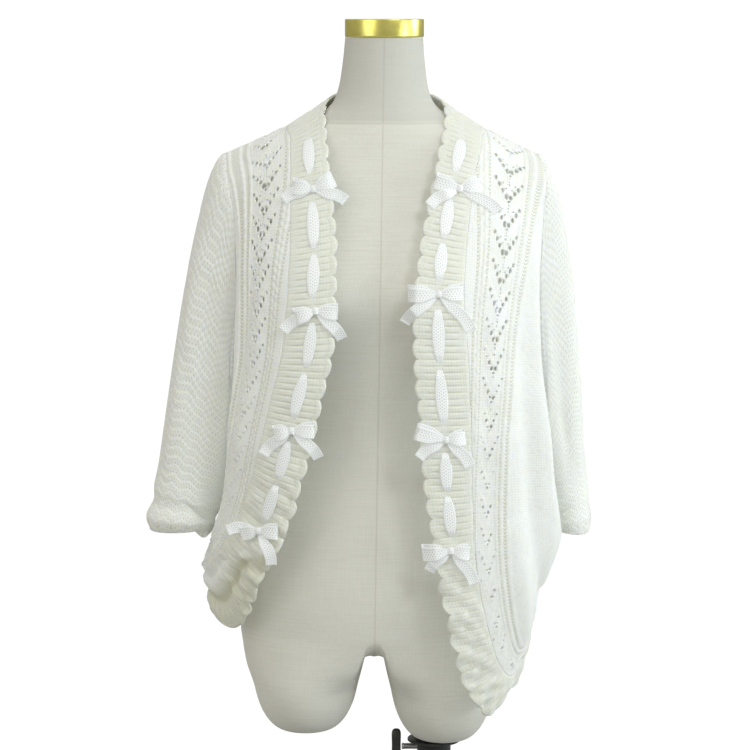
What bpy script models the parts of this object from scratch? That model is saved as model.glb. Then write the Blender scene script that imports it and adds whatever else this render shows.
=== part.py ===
"""Openwork knitted cardigan with ribbon bows, hung open on a limbless dress form.

Metres, +Z up, the front faces -Y. The origin is the centre of the underside of
the stand's base. Right and left are the wearer's, so the right side lies at -X.
Tables are in millimetres.
"""

import math
from collections import namedtuple

import bmesh
import bpy
from mathutils import Vector, geometry
from mathutils.bvhtree import BVHTree

MM = 0.001
UP = Vector((0, 0, 1))

# Cloth
WALL = 2.4 * MM
SEAM_GAP = 0.3 * MM
REST_GAP = 2.6 * MM
BACK_REST_GAP = 3.3 * MM
SCALLOP = 23.5 * MM
SCALLOP_DEPTH = 4.0 * MM
RIBS_A_SCALLOP = 3
RIB_HEIGHT = 1.5 * MM
CABLE_HEIGHT = 2.2 * MM
BAND_CROWN = 3.0 * MM
FRONT_CROWN = 13.0 * MM
NARROW_FRONT = 18.0 * MM
WIDE_FRONT = 85.0 * MM
CUFF_PUFF = 6.0 * MM
SLEEVE_AROUND = 0.22

# Openwork: leaf rows of holes up the middle of each front
LACE_PITCH = 34.0 * MM
LACE_MIDDLE = 0.46
HOLE_HALF = 2.7 * MM
LACE_ARM = ((6.5, 2.0), (12.5, 7.0))

# Ribbon
BOW_GAP = 0.2 * MM
BOW_SAMPLES = 8
LOOSE_DEPTH = 6.0 * MM
RIBBON_WALL = 1.0 * MM
RIBBON_LINE = 0.42
RIBBON_WIDTH = 12.0 * MM
RIBBON_LIFT = WALL / 2 + RIB_HEIGHT + SEAM_GAP + RIBBON_WALL / 2 + 0.2 * MM
KNOT_HALF = (4.5, 5.0)

# Dress form
LEAN = 0.0158
LEAN_FROM = 1.416
LEAN_SHIFT = 9.8 * MM
BUST_HEIGHT = 0.805
BUST_ASIDE = 0.075
BUST_DEPTH = 0.026
BUST_HALF = (0.046, 0.062)
CROTCH_HEIGHT = 0.346
RING_POINTS = 28
CAP_BOTTOM = 1.1083
CAP_TOP = 1.130
CAP_RADIUS = 0.0478

# Stand
POLE_X = 0.0675
POLE_Y = 0.004
POLE_RADIUS = 0.0125
POLE_TOP = 0.360
BORE_GAP = 0.4 * MM
BASE_RADIUS = 0.150
BASE_HEIGHT = 0.010
SOCKET_TOP = 0.2392
SOCKET_BOTTOM = 0.192
SOCKET_RADIUS = 0.021
SAUCER_RADIUS = 0.033
SAUCER_HEIGHT = 0.003
SCREW_HEIGHT = 0.2285
SCREW_RADIUS = 0.004
WING_X = 0.0205
WING_HALF = (0.0065, 0.006, 0.0225)

# The form's sections, from the neck's cut down to the hips
FormRow = namedtuple("FormRow", "height half_width front back")
FORM_ROWS = (
    FormRow(1108, 47, 45, 45),
    FormRow(1075, 50, 47, 48),
    FormRow(1045, 55, 50, 53),
    FormRow(1026, 64, 54, 60),
    FormRow(1010, 86, 59, 67),
    FormRow(994, 119, 64, 74),
    FormRow(978, 150, 68, 80),
    FormRow(960, 171, 73, 85),
    FormRow(936, 178, 81, 89),
    FormRow(900, 174, 92, 94),
    FormRow(850, 162, 105, 96),
    FormRow(800, 152, 112, 92),
    FormRow(750, 139, 102, 84),
    FormRow(700, 124, 91, 77),
    FormRow(645, 114, 84, 72),
    FormRow(590, 123, 87, 82),
    FormRow(530, 144, 92, 100),
    FormRow(470, 160, 94, 113),
    FormRow(420, 166, 92, 116),
    FormRow(380, 166, 86, 109),
)

# The two thighs' stubs: middle, half sizes and lowest level
Stub = namedtuple("Stub", "name middle_x half_x half_y bottom")
STUBS = (
    Stub("right", -92, 66, 76, 252),
    Stub("left", 78, 66, 76, 239.5),
)
STUB_FLAT = 0.024

# Band rows: where the free edge and the seam with the body lie.
# Row 0 is the middle of the neck's back, 1 the shoulder seam, 13 the side seam,
# 15 the middle of the back hem.
BandRow = namedtuple("BandRow", "edge_x edge_y edge_z seam_x seam_y seam_z")
BAND_RIGHT = (
    BandRow(0, 63, 1044, 0, 80, 994),
    BandRow(-60, 14, 1034, -104, 12, 1003),
    BandRow(-66, -45, 1004, -107, -47, 984),
    BandRow(-63, -88, 955, -106, -87, 943),
    BandRow(-55, -120, 884, -106, -116, 874),
    BandRow(-54, -143, 815, -109, -134, 808),
    BandRow(-57, -147, 747, -115, -138, 744),
    BandRow(-73, -144, 674, -130, -134, 682),
    BandRow(-89, -138, 604, -145, -125, 621),
    BandRow(-111, -128, 532, -161, -108, 564),
    BandRow(-138, -112, 474, -182, -85, 513),
    BandRow(-163, -88, 427, -201, -58, 480),
    BandRow(-186, -52, 393, -213, -28, 464),
    BandRow(-206, -4, 412, -214, 2, 466),
    BandRow(-158, 88, 420, -164, 92, 472),
    BandRow(0, 127, 422, 0, 130, 474),
)
BAND_LEFT = (
    BandRow(0, 63, 1044, 0, 80, 994),
    BandRow(71, 14, 1033, 114, 12, 1001),
    BandRow(77, -45, 1001, 121, -47, 984),
    BandRow(68, -88, 955, 111, -87, 943),
    BandRow(53, -120, 884, 102, -118, 874),
    BandRow(43, -143, 815, 98, -136, 809),
    BandRow(42, -147, 733, 103, -140, 732),
    BandRow(49, -144, 650, 107, -138, 651),
    BandRow(56, -139, 565, 109, -134, 568),
    BandRow(71, -133, 476, 114, -130, 484),
    BandRow(86, -125, 396, 129, -118, 404),
    BandRow(108, -112, 326, 146, -100, 353),
    BandRow(137, -80, 294, 165, -66, 340),
    BandRow(172, -4, 340, 186, 2, 390),
    BandRow(152, 88, 402, 160, 92, 454),
    BandRow(0, 127, 422, 0, 130, 474),
)

# The body's outer line: the armhole down to the underarm, and below it the line
# where the body turns in beside the sleeve. On the front for band rows 1 to 13,
# on the back from the shoulder tip down
ArmRow = namedtuple("ArmRow", "x y z")
ARM_FRONT_RIGHT = (
    ArmRow(-187, 10, 968),
    ArmRow(-183, -30, 937),
    ArmRow(-176, -45, 900),
    ArmRow(-172, -55, 840),
    ArmRow(-171, -60, 773),
    ArmRow(-171, -65, 711),
    ArmRow(-173, -68, 657),
    ArmRow(-177, -68, 612),
    ArmRow(-184, -62, 572),
    ArmRow(-192, -50, 540),
    ArmRow(-199, -35, 518),
    ArmRow(-204, -16, 503),
    ArmRow(-205, 4, 496),
)
ARM_FRONT_LEFT = (
    ArmRow(191, 10, 967),
    ArmRow(200, -30, 938),
    ArmRow(196, -45, 900),
    ArmRow(192, -56, 841),
    ArmRow(190, -61, 774),
    ArmRow(191, -65, 711),
    ArmRow(200, -68, 648),
    ArmRow(208, -68, 590),
    ArmRow(216, -62, 539),
    ArmRow(220, -50, 508),
    ArmRow(217, -34, 489),
    ArmRow(209, -14, 480),
    ArmRow(203, 6, 478),
)
ARM_BACK_RIGHT = (
    ArmRow(-187, 10, 968),
    ArmRow(-184, 44, 930),
    ArmRow(-178, 64, 870),
    ArmRow(-174, 74, 790),
    ArmRow(-173, 76, 710),
    ArmRow(-177, 70, 630),
    ArmRow(-188, 54, 560),
    ArmRow(-198, 32, 515),
    ArmRow(-205, 4, 496),
)
ARM_BACK_LEFT = (
    ArmRow(191, 10, 967),
    ArmRow(189, 44, 930),
    ArmRow(184, 64, 870),
    ArmRow(180, 74, 790),
    ArmRow(180, 76, 710),
    ArmRow(184, 72, 630),
    ArmRow(192, 60, 560),
    ArmRow(199, 38, 505),
    ArmRow(203, 6, 478),
)

# The side seam, from the underarm down to the end of the line above
SIDE_SEAM_RIGHT = (
    ArmRow(-163, 8, 736),
    ArmRow(-158, 8, 660),
    ArmRow(-166, 8, 594),
    ArmRow(-180, 6, 541),
    ArmRow(-194, 5, 512),
    ArmRow(-205, 4, 496),
)
SIDE_SEAM_LEFT = (
    ArmRow(180, 8, 736),
    ArmRow(179, 8, 655),
    ArmRow(190, 8, 570),
    ArmRow(198, 7, 512),
    ArmRow(201, 7, 487),
    ArmRow(203, 6, 478),
)
UNDERARM_ROW = 5.3
UNDERARM_Q = 0.38
TURN_IN = 4.0 * MM
FULL_TURN = 60.0 * MM

# The back's middle line, down from the neck seam to the hem seam
BackRow = namedtuple("BackRow", "middle_y middle_z fullness")
BACK_ROWS = (
    BackRow(80, 994, 0),
    BackRow(104, 930, 6),
    BackRow(116, 850, 10),
    BackRow(122, 750, 12),
    BackRow(126, 650, 12),
    BackRow(129, 560, 8),
    BackRow(130, 474, 0),
)

# Cuffs: the ring's middle and half sizes, its droop inwards, how far the sleeve's
# outer and inner lines swing from straight ones, how full it is above the cuff and
# how deep its folds are
Cuff = namedtuple("Cuff", "x y z half_x half_y droop outward inward puff folded")
CUFF_RIGHT = Cuff(-248, -6, 506, 35, 33, 4, 18, 17, 1.0, 1.0)
CUFF_LEFT = Cuff(236, 0, 505, 22, 46, -3, 18, 0, 0.35, 0.35)

# Largest folds. u runs from the band seam or the middle to the armhole, t along
# the rows. Ridges stand out and troughs have a negative height.
Fold = namedtuple("Fold", "u_from t_from u_to t_to width height")
FOLDS_RIGHT = (
    Fold(0.86, 4.0, 0.82, 9.5, 13, 7),
    Fold(0.20, 4.5, 0.25, 9.0, 12, -4),
    Fold(0.60, 6.0, 0.45, 11.5, 14, 4),
    Fold(0.50, 9.6, 0.40, 12.6, 10, -5),
)
FOLDS_LEFT = (
    Fold(0.84, 3.5, 0.86, 10.5, 14, 11),
    Fold(0.12, 4.5, 0.20, 9.5, 12, -2),
    Fold(0.62, 5.0, 0.58, 11.0, 13, -3),
    Fold(0.40, 8.5, 0.30, 12.0, 15, 7),
    Fold(0.66, 9.6, 0.62, 12.6, 12, -8),
)
FOLDS_BACK = (
    Fold(-0.72, 0.16, -0.66, 0.92, 20, 7),
    Fold(-0.40, 0.30, -0.46, 0.96, 18, -6),
    Fold(-0.12, 0.34, -0.20, 0.95, 20, 6),
    Fold(0.16, 0.30, 0.10, 0.94, 18, -6),
    Fold(0.44, 0.26, 0.36, 0.96, 20, 7),
    Fold(0.74, 0.18, 0.68, 0.93, 18, -5),
)
# On a sleeve u runs round it from the outer line by the front, t down to the cuff
FOLDS_SLEEVE = (
    Fold(0.10, 0.15, 0.14, 0.85, 12, 5),
    Fold(0.22, 0.20, 0.24, 0.90, 10, -5),
    Fold(0.33, 0.25, 0.36, 0.80, 10, 4),
    Fold(0.66, 0.20, 0.62, 0.85, 12, -5),
    Fold(0.82, 0.15, 0.84, 0.85, 12, 5),
)

# Bows: place on the band (row and share of its width) and where the loops and
# tails end, across and up from the knot
Bow = namedtuple("Bow", "row across loop_a loop_b tail_a tail_b")
BOWS_RIGHT = (
    Bow(3.30, 0.36, (-25, 3), (24, 11), (-36, -13), (38, -15)),
    Bow(5.32, 0.36, (-24, -7), (26, -1), (-38, -24), (31, -34)),
    Bow(7.42, 0.40, (-22, -4), (26, 1), (-34, -30), (31, -34)),
    Bow(9.36, 0.46, (-22, -5), (23, 0), (-38, -2), (15, -42)),
)
BOWS_LEFT = (
    Bow(3.25, 0.62, (-29, 9), (24, 5), (-36, -20), (46, -28)),
    Bow(5.02, 0.44, (-36, 0), (28, 2), (-40, -35), (38, -43)),
    Bow(7.14, 0.46, (-36, 10), (22, 3), (-32, -22), (28, -33)),
    Bow(8.70, 0.36, (-34, -4), (22, -2), (-26, -26), (28, -41)),
)
RIBBONS_BETWEEN = 2

Finish = namedtuple("Finish", "red green blue roughness metallic")
FINISHES = {
    "knit": Finish(0.90, 0.89, 0.84, 0.85, 0.0),
    "lace_ribbon": Finish(0.93, 0.94, 0.93, 0.70, 0.0),
    "linen": Finish(0.72, 0.69, 0.61, 0.80, 0.0),
    "brass": Finish(0.66, 0.52, 0.22, 0.25, 1.0),
    "black_stand": Finish(0.02, 0.02, 0.02, 0.35, 0.4),
    "steel": Finish(0.60, 0.60, 0.60, 0.30, 1.0),
}


class Track:
    """A smooth line through rows of three numbers, each at its own place."""

    def __init__(self, places, rows, scale=MM):
        self.places = list(places)
        self.rows = [Vector(row) * scale for row in rows]

    def slope(self, index):
        low, high = max(index - 1, 0), min(index + 1, len(self.rows) - 1)
        return (self.rows[high] - self.rows[low]) / (self.places[high] - self.places[low])

    def at(self, place):
        place = min(max(place, self.places[0]), self.places[-1])
        index = 0
        while index < len(self.places) - 2 and place > self.places[index + 1]:
            index += 1
        span = self.places[index + 1] - self.places[index]
        f = (place - self.places[index]) / span
        start, end = self.rows[index], self.rows[index + 1]
        leave, arrive = self.slope(index) * span, self.slope(index + 1) * span
        return (
            start * (2 * f**3 - 3 * f**2 + 1)
            + leave * (f**3 - 2 * f**2 + f)
            + end * (3 * f**2 - 2 * f**3)
            + arrive * (f**3 - f**2)
        )


FORM = Track(
    [-row.height * MM for row in FORM_ROWS],
    [(row.half_width, row.front, row.back) for row in FORM_ROWS],
)


def smooth_step(low, high, value):
    f = min(max((value - low) / (high - low), 0), 1)
    return f * f * (3 - 2 * f)


def form_lean(z):
    return LEAN * (z - LEAN_FROM) + LEAN_SHIFT


def form_front(x, z, front):
    """The front's depth at this height, with the bust's two mounds."""
    aside = (abs(x) - BUST_ASIDE) / BUST_HALF[0]
    above = (z - BUST_HEIGHT) / BUST_HALF[1]
    return front + BUST_DEPTH * math.exp(-aside * aside - above * above)


def form_reach(point):
    """How far out a point lies among the form's sections: 1 is on its surface."""
    half_width, front, back = FORM.at(-point.z)
    x = point.x - form_lean(point.z)
    depth = form_front(x, point.z, front) if point.y < 0 else back
    return math.hypot(x / half_width, point.y / depth)


def clear_of_form(point):
    """Lifts a point of the cloth's middle off the form, so the cloth rests on it."""
    step = 0.2 * MM
    gap = REST_GAP + (BACK_REST_GAP - REST_GAP) * smooth_step(-0.02, 0.02, point.y)
    for _ in range(8):
        reach = form_reach(point)
        slope = Vector(
            form_reach(point + axis * step) - reach
            for axis in (Vector((1, 0, 0)), Vector((0, 1, 0)), UP)
        ) / step
        distance = (reach - 1) / slope.length
        if distance >= gap:
            return point
        point = point + slope.normalized() * (gap - distance)
    return point


class Side:
    """One half of the cardigan: its band's edge and seam, and its armhole."""

    def __init__(self, name, sign, band_rows, arm_front, arm_back, side_seam, cuff, folds, bows):
        self.name, self.sign = name, sign
        self.cuff, self.folds, self.bows = cuff, folds, bows
        edges = [Vector(row[:3]) for row in band_rows]
        seams = [Vector(row[3:]) for row in band_rows]
        places = range(-1, len(band_rows) + 1)
        self.edge_track = Track(places, self.with_ends(edges))
        self.seam_track = Track(places, self.with_ends(seams))
        self.arm_track = Track(range(1, 14), arm_front)
        steps = len(arm_back) - 1
        self.back_arm_track = Track([i / steps for i in range(steps + 1)], arm_back)
        self.neck_rows = self.divide(0, 1)
        self.front_rows = self.divide(1, 13)
        self.hem_rows = self.divide(13, 15)
        self.underarm = min(self.front_rows[::2], key=lambda t: abs(t - UNDERARM_ROW))
        self.arm_rows = [t for t in self.front_rows if t <= self.underarm]
        self.side_rows = [t for t in self.front_rows[::2] if t > self.underarm]
        steps = len(side_seam) - 1
        places = [self.underarm + (13 - self.underarm) * i / steps for i in range(steps + 1)]
        self.side_track = Track(places, side_seam)

    @staticmethod
    def with_ends(rows):
        """Adds a mirrored row before the neck's middle and after the hem's."""
        before, after = rows[1].copy(), rows[-2].copy()
        before.x, after.x = -before.x, -after.x
        return [before] + rows + [after]

    def edge(self, t):
        return clear_of_form(self.edge_track.at(t))

    def seam(self, t):
        return clear_of_form(self.seam_track.at(t))

    def arm(self, t):
        return clear_of_form(self.arm_track.at(t))

    def side_seam(self, t):
        return clear_of_form(self.side_track.at(t))

    def below_underarm(self, t):
        """0 at the underarm and 1 where the side seam meets the body's outer line."""
        return (t - self.underarm) / (13 - self.underarm)

    def divide(self, t_from, t_to):
        """Rows one scallop apart along the band's middle, an even number of steps."""
        fine = 40 * int(t_to - t_from)
        places = [t_from + (t_to - t_from) * i / fine for i in range(fine + 1)]
        middles = [(self.edge_track.at(t) + self.seam_track.at(t)) / 2 for t in places]
        lengths = [0.0]
        for a, b in zip(middles, middles[1:]):
            lengths.append(lengths[-1] + (b - a).length)
        steps = max(2 * round(lengths[-1] / SCALLOP / 2), 2)
        rows = []
        for step in range(steps + 1):
            wanted = lengths[-1] * step / steps
            index = next(i for i in range(1, fine + 1) if lengths[i] >= wanted - 1e-9)
            share = (wanted - lengths[index - 1]) / (lengths[index] - lengths[index - 1])
            rows.append(places[index - 1] + share * (places[index] - places[index - 1]))
        rows[0], rows[-1] = t_from, t_to
        return rows


SIDES = (
    Side(
        "right", -1, BAND_RIGHT, ARM_FRONT_RIGHT, ARM_BACK_RIGHT,
        SIDE_SEAM_RIGHT, CUFF_RIGHT, FOLDS_RIGHT, BOWS_RIGHT,
    ),
    Side(
        "left", 1, BAND_LEFT, ARM_FRONT_LEFT, ARM_BACK_LEFT,
        SIDE_SEAM_LEFT, CUFF_LEFT, FOLDS_LEFT, BOWS_LEFT,
    ),
)
BACK_MIDDLE = Track(
    [i / (len(BACK_ROWS) - 1) for i in range(len(BACK_ROWS))],
    [(row.fullness, row.middle_y, row.middle_z) for row in BACK_ROWS],
)
SIDE_V = 0.90
BACK_ARM_STEPS = 11
BACK_UNDERARM_STEP = 6


def back_arm_share(step):
    """Steps down the back's outer line, closer together over the shoulder."""
    return (step / BACK_ARM_STEPS) ** 1.4


UNDERARM_V = SIDE_V * back_arm_share(BACK_UNDERARM_STEP)


def fold_height(folds, u, t, width):
    """The sum of the folds' ridges and troughs at one place."""
    total = 0.0
    for fold in folds:
        along = (t - fold.t_from) / (fold.t_to - fold.t_from)
        if not 0 < along < 1:
            continue
        middle = fold.u_from + (fold.u_to - fold.u_from) * along
        aside = (u - middle) * width / (fold.width * MM)
        total += fold.height * MM * math.exp(-aside * aside) * math.sin(math.pi * along) ** 0.7
    return total


def band_point(side, t, w):
    """A point of the band's middle surface: w is 0 at the free edge, 1 at the seam."""
    edge, seam = side.edge(t), side.seam(t)
    point = edge.lerp(seam, w)
    out = Vector((point.x, point.y, 0)).normalized()
    crown = BAND_CROWN * smooth_step(1, 3, t) * (1 - smooth_step(13, 15, t))
    return clear_of_form(point + out * (crown * 4 * w * (1 - w)))


def front_point(side, u, t):
    """A point of a front: u runs from the band seam to the armhole."""
    seam, arm = side.seam(t), side.arm(t)
    point = seam.lerp(arm, u)
    width = (arm - seam).length
    out = Vector((point.x, point.y, 0)).normalized()
    crown = FRONT_CROWN * smooth_step(1.5, 4.5, t) * (1 - smooth_step(9, 13, t))
    window = 1 - (2 * u - 1) ** 8
    lift = crown * 4 * u * (1 - u) + window * fold_height(side.folds, u, t, width)
    return clear_of_form(point + out * (lift * smooth_step(NARROW_FRONT, WIDE_FRONT, width)))


def side_line(side, v):
    """The back's outer line: down the armhole, then down the side seam."""
    if v <= SIDE_V:
        return clear_of_form(side.back_arm_track.at(v / SIDE_V))
    return front_point(side, (1 - v) / (1 - SIDE_V), 13)


def turned_in(side, start, t, s):
    """From the body's outer line, at s 0, in beside the sleeve to the side seam, at s 1."""
    seam = side.side_seam(t)
    point = start.lerp(seam, s)
    point.z = start.z + (seam.z - start.z) * math.sin(math.pi / 2 * s)
    inwards = TURN_IN * smooth_step(0, FULL_TURN, (seam - start).length)
    point.x -= side.sign * inwards * 4 * s * (1 - s)
    return clear_of_form(point)


def front_under(side, s, t):
    return turned_in(side, side.arm(t), t, s)


def back_under(side, s, v):
    t = side.underarm + (13 - side.underarm) * (v - UNDERARM_V) / (SIDE_V - UNDERARM_V)
    return turned_in(side, side_line(side, v), t, s)


def back_section(u, v):
    """The back's plain section: flat over the middle and turning in at the sides."""
    side = SIDES[0] if u < 0 else SIDES[1]
    end = side_line(side, v)
    fullness, middle_y, middle_z = BACK_MIDDLE.at(v)
    a = abs(u)
    turn = 1 - a**2.6
    point = Vector((end.x * a, end.y + (middle_y - end.y) * turn, end.z + (middle_z - end.z) * turn))
    window = (1 - a**6) * math.sin(math.pi * v)
    lift = fullness * 4 * a * (1 - a) + window * fold_height(FOLDS_BACK, u, v, 0.2)
    return point + Vector((0, lift, 0))


def back_top(u):
    """The back's upper line: the neck seam, then the shoulder seam."""
    side = SIDES[0] if u < 0 else SIDES[1]
    a = abs(u)
    return side.seam(2 * a) if a <= 0.5 else front_point(side, 2 * a - 1, 1)


def back_hem(u):
    side = SIDES[0] if u < 0 else SIDES[1]
    return side.seam(15 - 2 * abs(u))


def back_point(u, v):
    """A point of the back: u from -1 at the right to 1, v from the top to the hem."""
    top_shift = back_top(u) - back_section(u, 0)
    hem_shift = back_hem(u) - back_section(u, 1)
    point = back_section(u, v) + top_shift * (1 - v) ** 3 + hem_shift * v**4
    return clear_of_form(point)


def cuff_point(side, q):
    """A point of the cuff's ring: q 0 is its outer end, 0.25 the front."""
    cuff = side.cuff
    angle = 2 * math.pi * q
    inward = (1 - math.cos(angle)) / 2
    return Vector(
        (
            cuff.x + side.sign * cuff.half_x * math.cos(angle),
            cuff.y - cuff.half_y * math.sin(angle),
            cuff.z - cuff.droop * inward,
        )
    ) * MM


def sleeve_root(side, q):
    """The armhole as a ring: down the front, under the arm, then up the back."""
    up = 1 - q
    if q <= UNDERARM_Q:
        return side.arm(1 + (side.underarm - 1) * q / UNDERARM_Q)
    if q <= 0.5:
        return front_under(side, (q - UNDERARM_Q) / (0.5 - UNDERARM_Q), side.underarm)
    if up > UNDERARM_Q:
        return back_under(side, (up - UNDERARM_Q) / (0.5 - UNDERARM_Q), UNDERARM_V)
    return side_line(side, UNDERARM_V * up / UNDERARM_Q)


def sleeve_point(side, q, w):
    """A point of a sleeve: q round it from its outer line, w down to the cuff."""
    root, cuff = sleeve_root(side, q), cuff_point(side, q)
    outer = max(math.cos(2 * math.pi * q), 0)
    inner = max(-math.cos(2 * math.pi * q), 0)
    out = Vector((side.sign * math.cos(2 * math.pi * q), -math.sin(2 * math.pi * q), 0))
    swing = side.cuff.outward * outer * math.sin(math.pi * w**0.5)
    swing -= side.cuff.inward * inner * math.sin(math.pi * w**1.3)
    puffed = smooth_step(0.80, 0.91, w) - 1.25 * smooth_step(0.93, 1.0, w)
    puff = CUFF_PUFF * side.cuff.puff * puffed * (1 - 0.5 * inner)
    folds = side.cuff.folded * fold_height(FOLDS_SLEEVE, q, w, SLEEVE_AROUND)
    return root.lerp(cuff, w) + Vector((side.sign * swing * MM, 0, 0)) + out * (puff + folds)


def out_of_axis(point):
    """A place inside the body at the height of this point."""
    return Vector((0, 0, point.z))


class Cloth:
    """A piece's middle surface: points, faces that look outwards, and relief."""

    def __init__(self, name, points, faces, inside, relief=None, pinned=None):
        self.name, self.points = name, points
        self.relief = relief or [0.0] * len(points)
        self.pinned = pinned or {}
        outwards = 0.0
        for face in faces:
            corners = [points[i] for i in face]
            middle = sum(corners, Vector()) / len(corners)
            across = (corners[1] - corners[0]).cross(corners[2] - corners[0])
            outwards += across.dot(middle - inside(middle))
        self.faces = faces if outwards > 0 else [tuple(reversed(face)) for face in faces]


def welded_key(point):
    return tuple(round(value / (0.02 * MM)) for value in point)


def add_normals(cloths):
    """Gives every point the mean normal of all cloth that meets there."""
    total = {}
    for cloth in cloths:
        cloth.own = [Vector() for _ in cloth.points]
        for face in cloth.faces:
            corners = [cloth.points[i] for i in face]
            across = Vector()
            for i in range(1, len(corners) - 1):
                across += (corners[i] - corners[0]).cross(corners[i + 1] - corners[0])
            for index, corner in zip(face, corners):
                key = welded_key(corner)
                total[key] = total.get(key, Vector()) + across
                cloth.own[index] += across
    for cloth in cloths:
        cloth.normals = [total[welded_key(point)].normalized() for point in cloth.points]
        for index, (before, after, share) in cloth.pinned.items():
            cloth.normals[index] = cloth.normals[before].lerp(cloth.normals[after], share)


def set_beside(sleeve, bodies, sign):
    """Under the arm a sleeve's wall starts beside the body's wall, not in line with it."""
    places = {}
    for body in bodies:
        for index, point in enumerate(body.points):
            places.setdefault(welded_key(point), []).append((body, index))
    for index in sleeve.under:
        meets = places[welded_key(sleeve.points[index])]
        outwards = sum((body.own[i] for body, i in meets), Vector()).normalized()
        for body, i in meets:
            body.normals[i] = outwards
        sleeve.normals[index] = sleeve.own[index].normalized()
    first, last = sleeve.under[0], sleeve.under[-1]
    for index in range(first - 1, last + 2):
        share = {first - 1: 0.5, first: 1.5, last: 1.5, last + 1: 0.5}.get(index, 1)
        for row, w in enumerate(SLEEVE_ROWS):
            here = row * sleeve.around + index
            aside = share * sign * (WALL + SEAM_GAP) * (1 - w)
            sleeve.points[here] = sleeve.points[here] + Vector((aside, 0, 0))


def open_edges(faces):
    """Edges with one face, in the direction in which that face runs."""
    edges = {}
    for face in faces:
        for a, b in zip(face, face[1:] + face[:1]):
            edges[(a, b)] = True
    return [(a, b) for a, b in edges if (b, a) not in edges]


CORNER_BEND = 0.7


def drawn_in(cloth, rims):
    """The points, with those on a rim moved into the piece by half a seam's gap.

    Corners, where three pieces meet, are drawn in twice as far.
    """
    inward = {}
    for a, b in rims:
        along = (cloth.points[b] - cloth.points[a]).normalized()
        for index in (a, b):
            way = cloth.normals[index].cross(along).normalized()
            inward.setdefault(index, []).append(way)
    points = list(cloth.points)
    for index, ways in inward.items():
        both = sum(ways, Vector())
        bend = ways[0].dot(ways[-1])
        spread = max(1 + bend, 0.35) * (1.0 if bend > CORNER_BEND else 0.5)
        points[index] = points[index] + both * (SEAM_GAP / 2 / spread)
    return points


def wall_of(cloth, thickness=WALL):
    """A closed wall round the middle surface, as a bmesh.

    Pieces that share a seam split its twisted rim along the same diagonals.
    """
    rims = open_edges(cloth.faces)
    points = drawn_in(cloth, rims)
    bm = bmesh.new()
    outer = [
        bm.verts.new(p + n * (thickness / 2 + r))
        for p, n, r in zip(points, cloth.normals, cloth.relief)
    ]
    inner = [bm.verts.new(p - n * thickness / 2) for p, n in zip(points, cloth.normals)]
    for face in cloth.faces:
        bm.faces.new([outer[i] for i in face])
        bm.faces.new([inner[i] for i in reversed(face)])
    for a, b in rims:
        if welded_key(cloth.points[a]) < welded_key(cloth.points[b]):
            rim = ((outer[a], inner[a], inner[b]), (outer[a], inner[b], outer[b]))
        else:
            rim = ((outer[a], inner[a], outer[b]), (inner[a], inner[b], outer[b]))
        for face in rim:
            bm.faces.new(face)
    return bm


def band_wall(cloth, columns=3):
    """A band's closed wall: ribs on its outer points, and a row inside for each scallop."""
    points = drawn_in(cloth, open_edges(cloth.faces))
    steps = 2 * RIBS_A_SCALLOP
    rows = len(points) // columns
    bm = bmesh.new()
    outer = [
        bm.verts.new(p + n * (WALL / 2 + r))
        for p, n, r in zip(points, cloth.normals, cloth.relief)
    ]
    inner = {}
    for row in range(0, rows, steps):
        for i in range(row * columns, (row + 1) * columns):
            inner[i] = bm.verts.new(points[i] - cloth.normals[i] * WALL / 2)
    for face in cloth.faces:
        bm.faces.new([outer[i] for i in face])
    for row in range(0, rows - 1, steps):
        here, below = row * columns, (row + steps) * columns
        for c in range(columns - 1):
            corners = (here + c, here + c + 1, below + c + 1, below + c)
            bm.faces.new([inner[i] for i in corners])
        for c in (0, columns - 1):
            rim = [outer[i] for i in range(here + c, below + c + 1, columns)]
            upper, lower = inner[here + c], inner[below + c]
            from_below = welded_key(cloth.points[here + c]) < welded_key(cloth.points[below + c])
            bm.faces.new((upper, lower, rim[0] if from_below else rim[-1]))
            for a, b in zip(rim, rim[1:]):
                bm.faces.new((a, b, lower if from_below else upper))
    for here in (0, (rows - 1) * columns):
        for a in range(here, here + columns - 1):
            bm.faces.new((outer[a], inner[a], inner[a + 1], outer[a + 1]))
    bmesh.ops.recalc_face_normals(bm, faces=bm.faces[:])
    if bm.calc_volume(signed=True) < 0:
        bmesh.ops.reverse_faces(bm, faces=bm.faces[:])
    return bm


def material(name):
    finish = FINISHES[name]
    made = bpy.data.materials.get(name) or bpy.data.materials.new(name)
    made.use_nodes = True
    shader = made.node_tree.nodes["Principled BSDF"]
    shader.inputs["Base Color"].default_value = (finish.red, finish.green, finish.blue, 1)
    shader.inputs["Roughness"].default_value = finish.roughness
    shader.inputs["Metallic"].default_value = finish.metallic
    return made


def add_object(name, bm, finish, smooth=True):
    mesh = bpy.data.meshes.new(name)
    bm.to_mesh(mesh)
    bm.free()
    mesh.materials.append(material(finish))
    obj = bpy.data.objects.new(name, mesh)
    bpy.context.scene.collection.objects.link(obj)
    if smooth:
        mesh.shade_smooth()
        mesh.set_sharp_from_angle(angle=math.radians(40))
    return obj


def grid_faces(rows, columns, closed=False):
    """Quads over rows of points, the last column joined to the first if closed."""
    faces = []
    for r in range(rows - 1):
        for c in range(columns if closed else columns - 1):
            d = (c + 1) % columns
            faces.append((r * columns + c, r * columns + d, (r + 1) * columns + d, (r + 1) * columns + c))
    return faces


BAND_ACROSS = 3
LOBE_ROUNDNESS = 0.8
RIB_AT_EDGE = 0.6


def band_rows(coarse):
    """Fine rows of a band: (t, row before, row after, share), two for each rib."""
    steps = 2 * RIBS_A_SCALLOP
    rows = []
    for index in range(len(coarse) - 1):
        for step in range(steps):
            share = step / steps
            t = coarse[index] + (coarse[index + 1] - coarse[index]) * share
            rows.append((t, index * steps, (index + 1) * steps, share))
    last = (len(coarse) - 1) * steps
    rows.append((coarse[-1], last, last, 0.0))
    return rows


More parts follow.
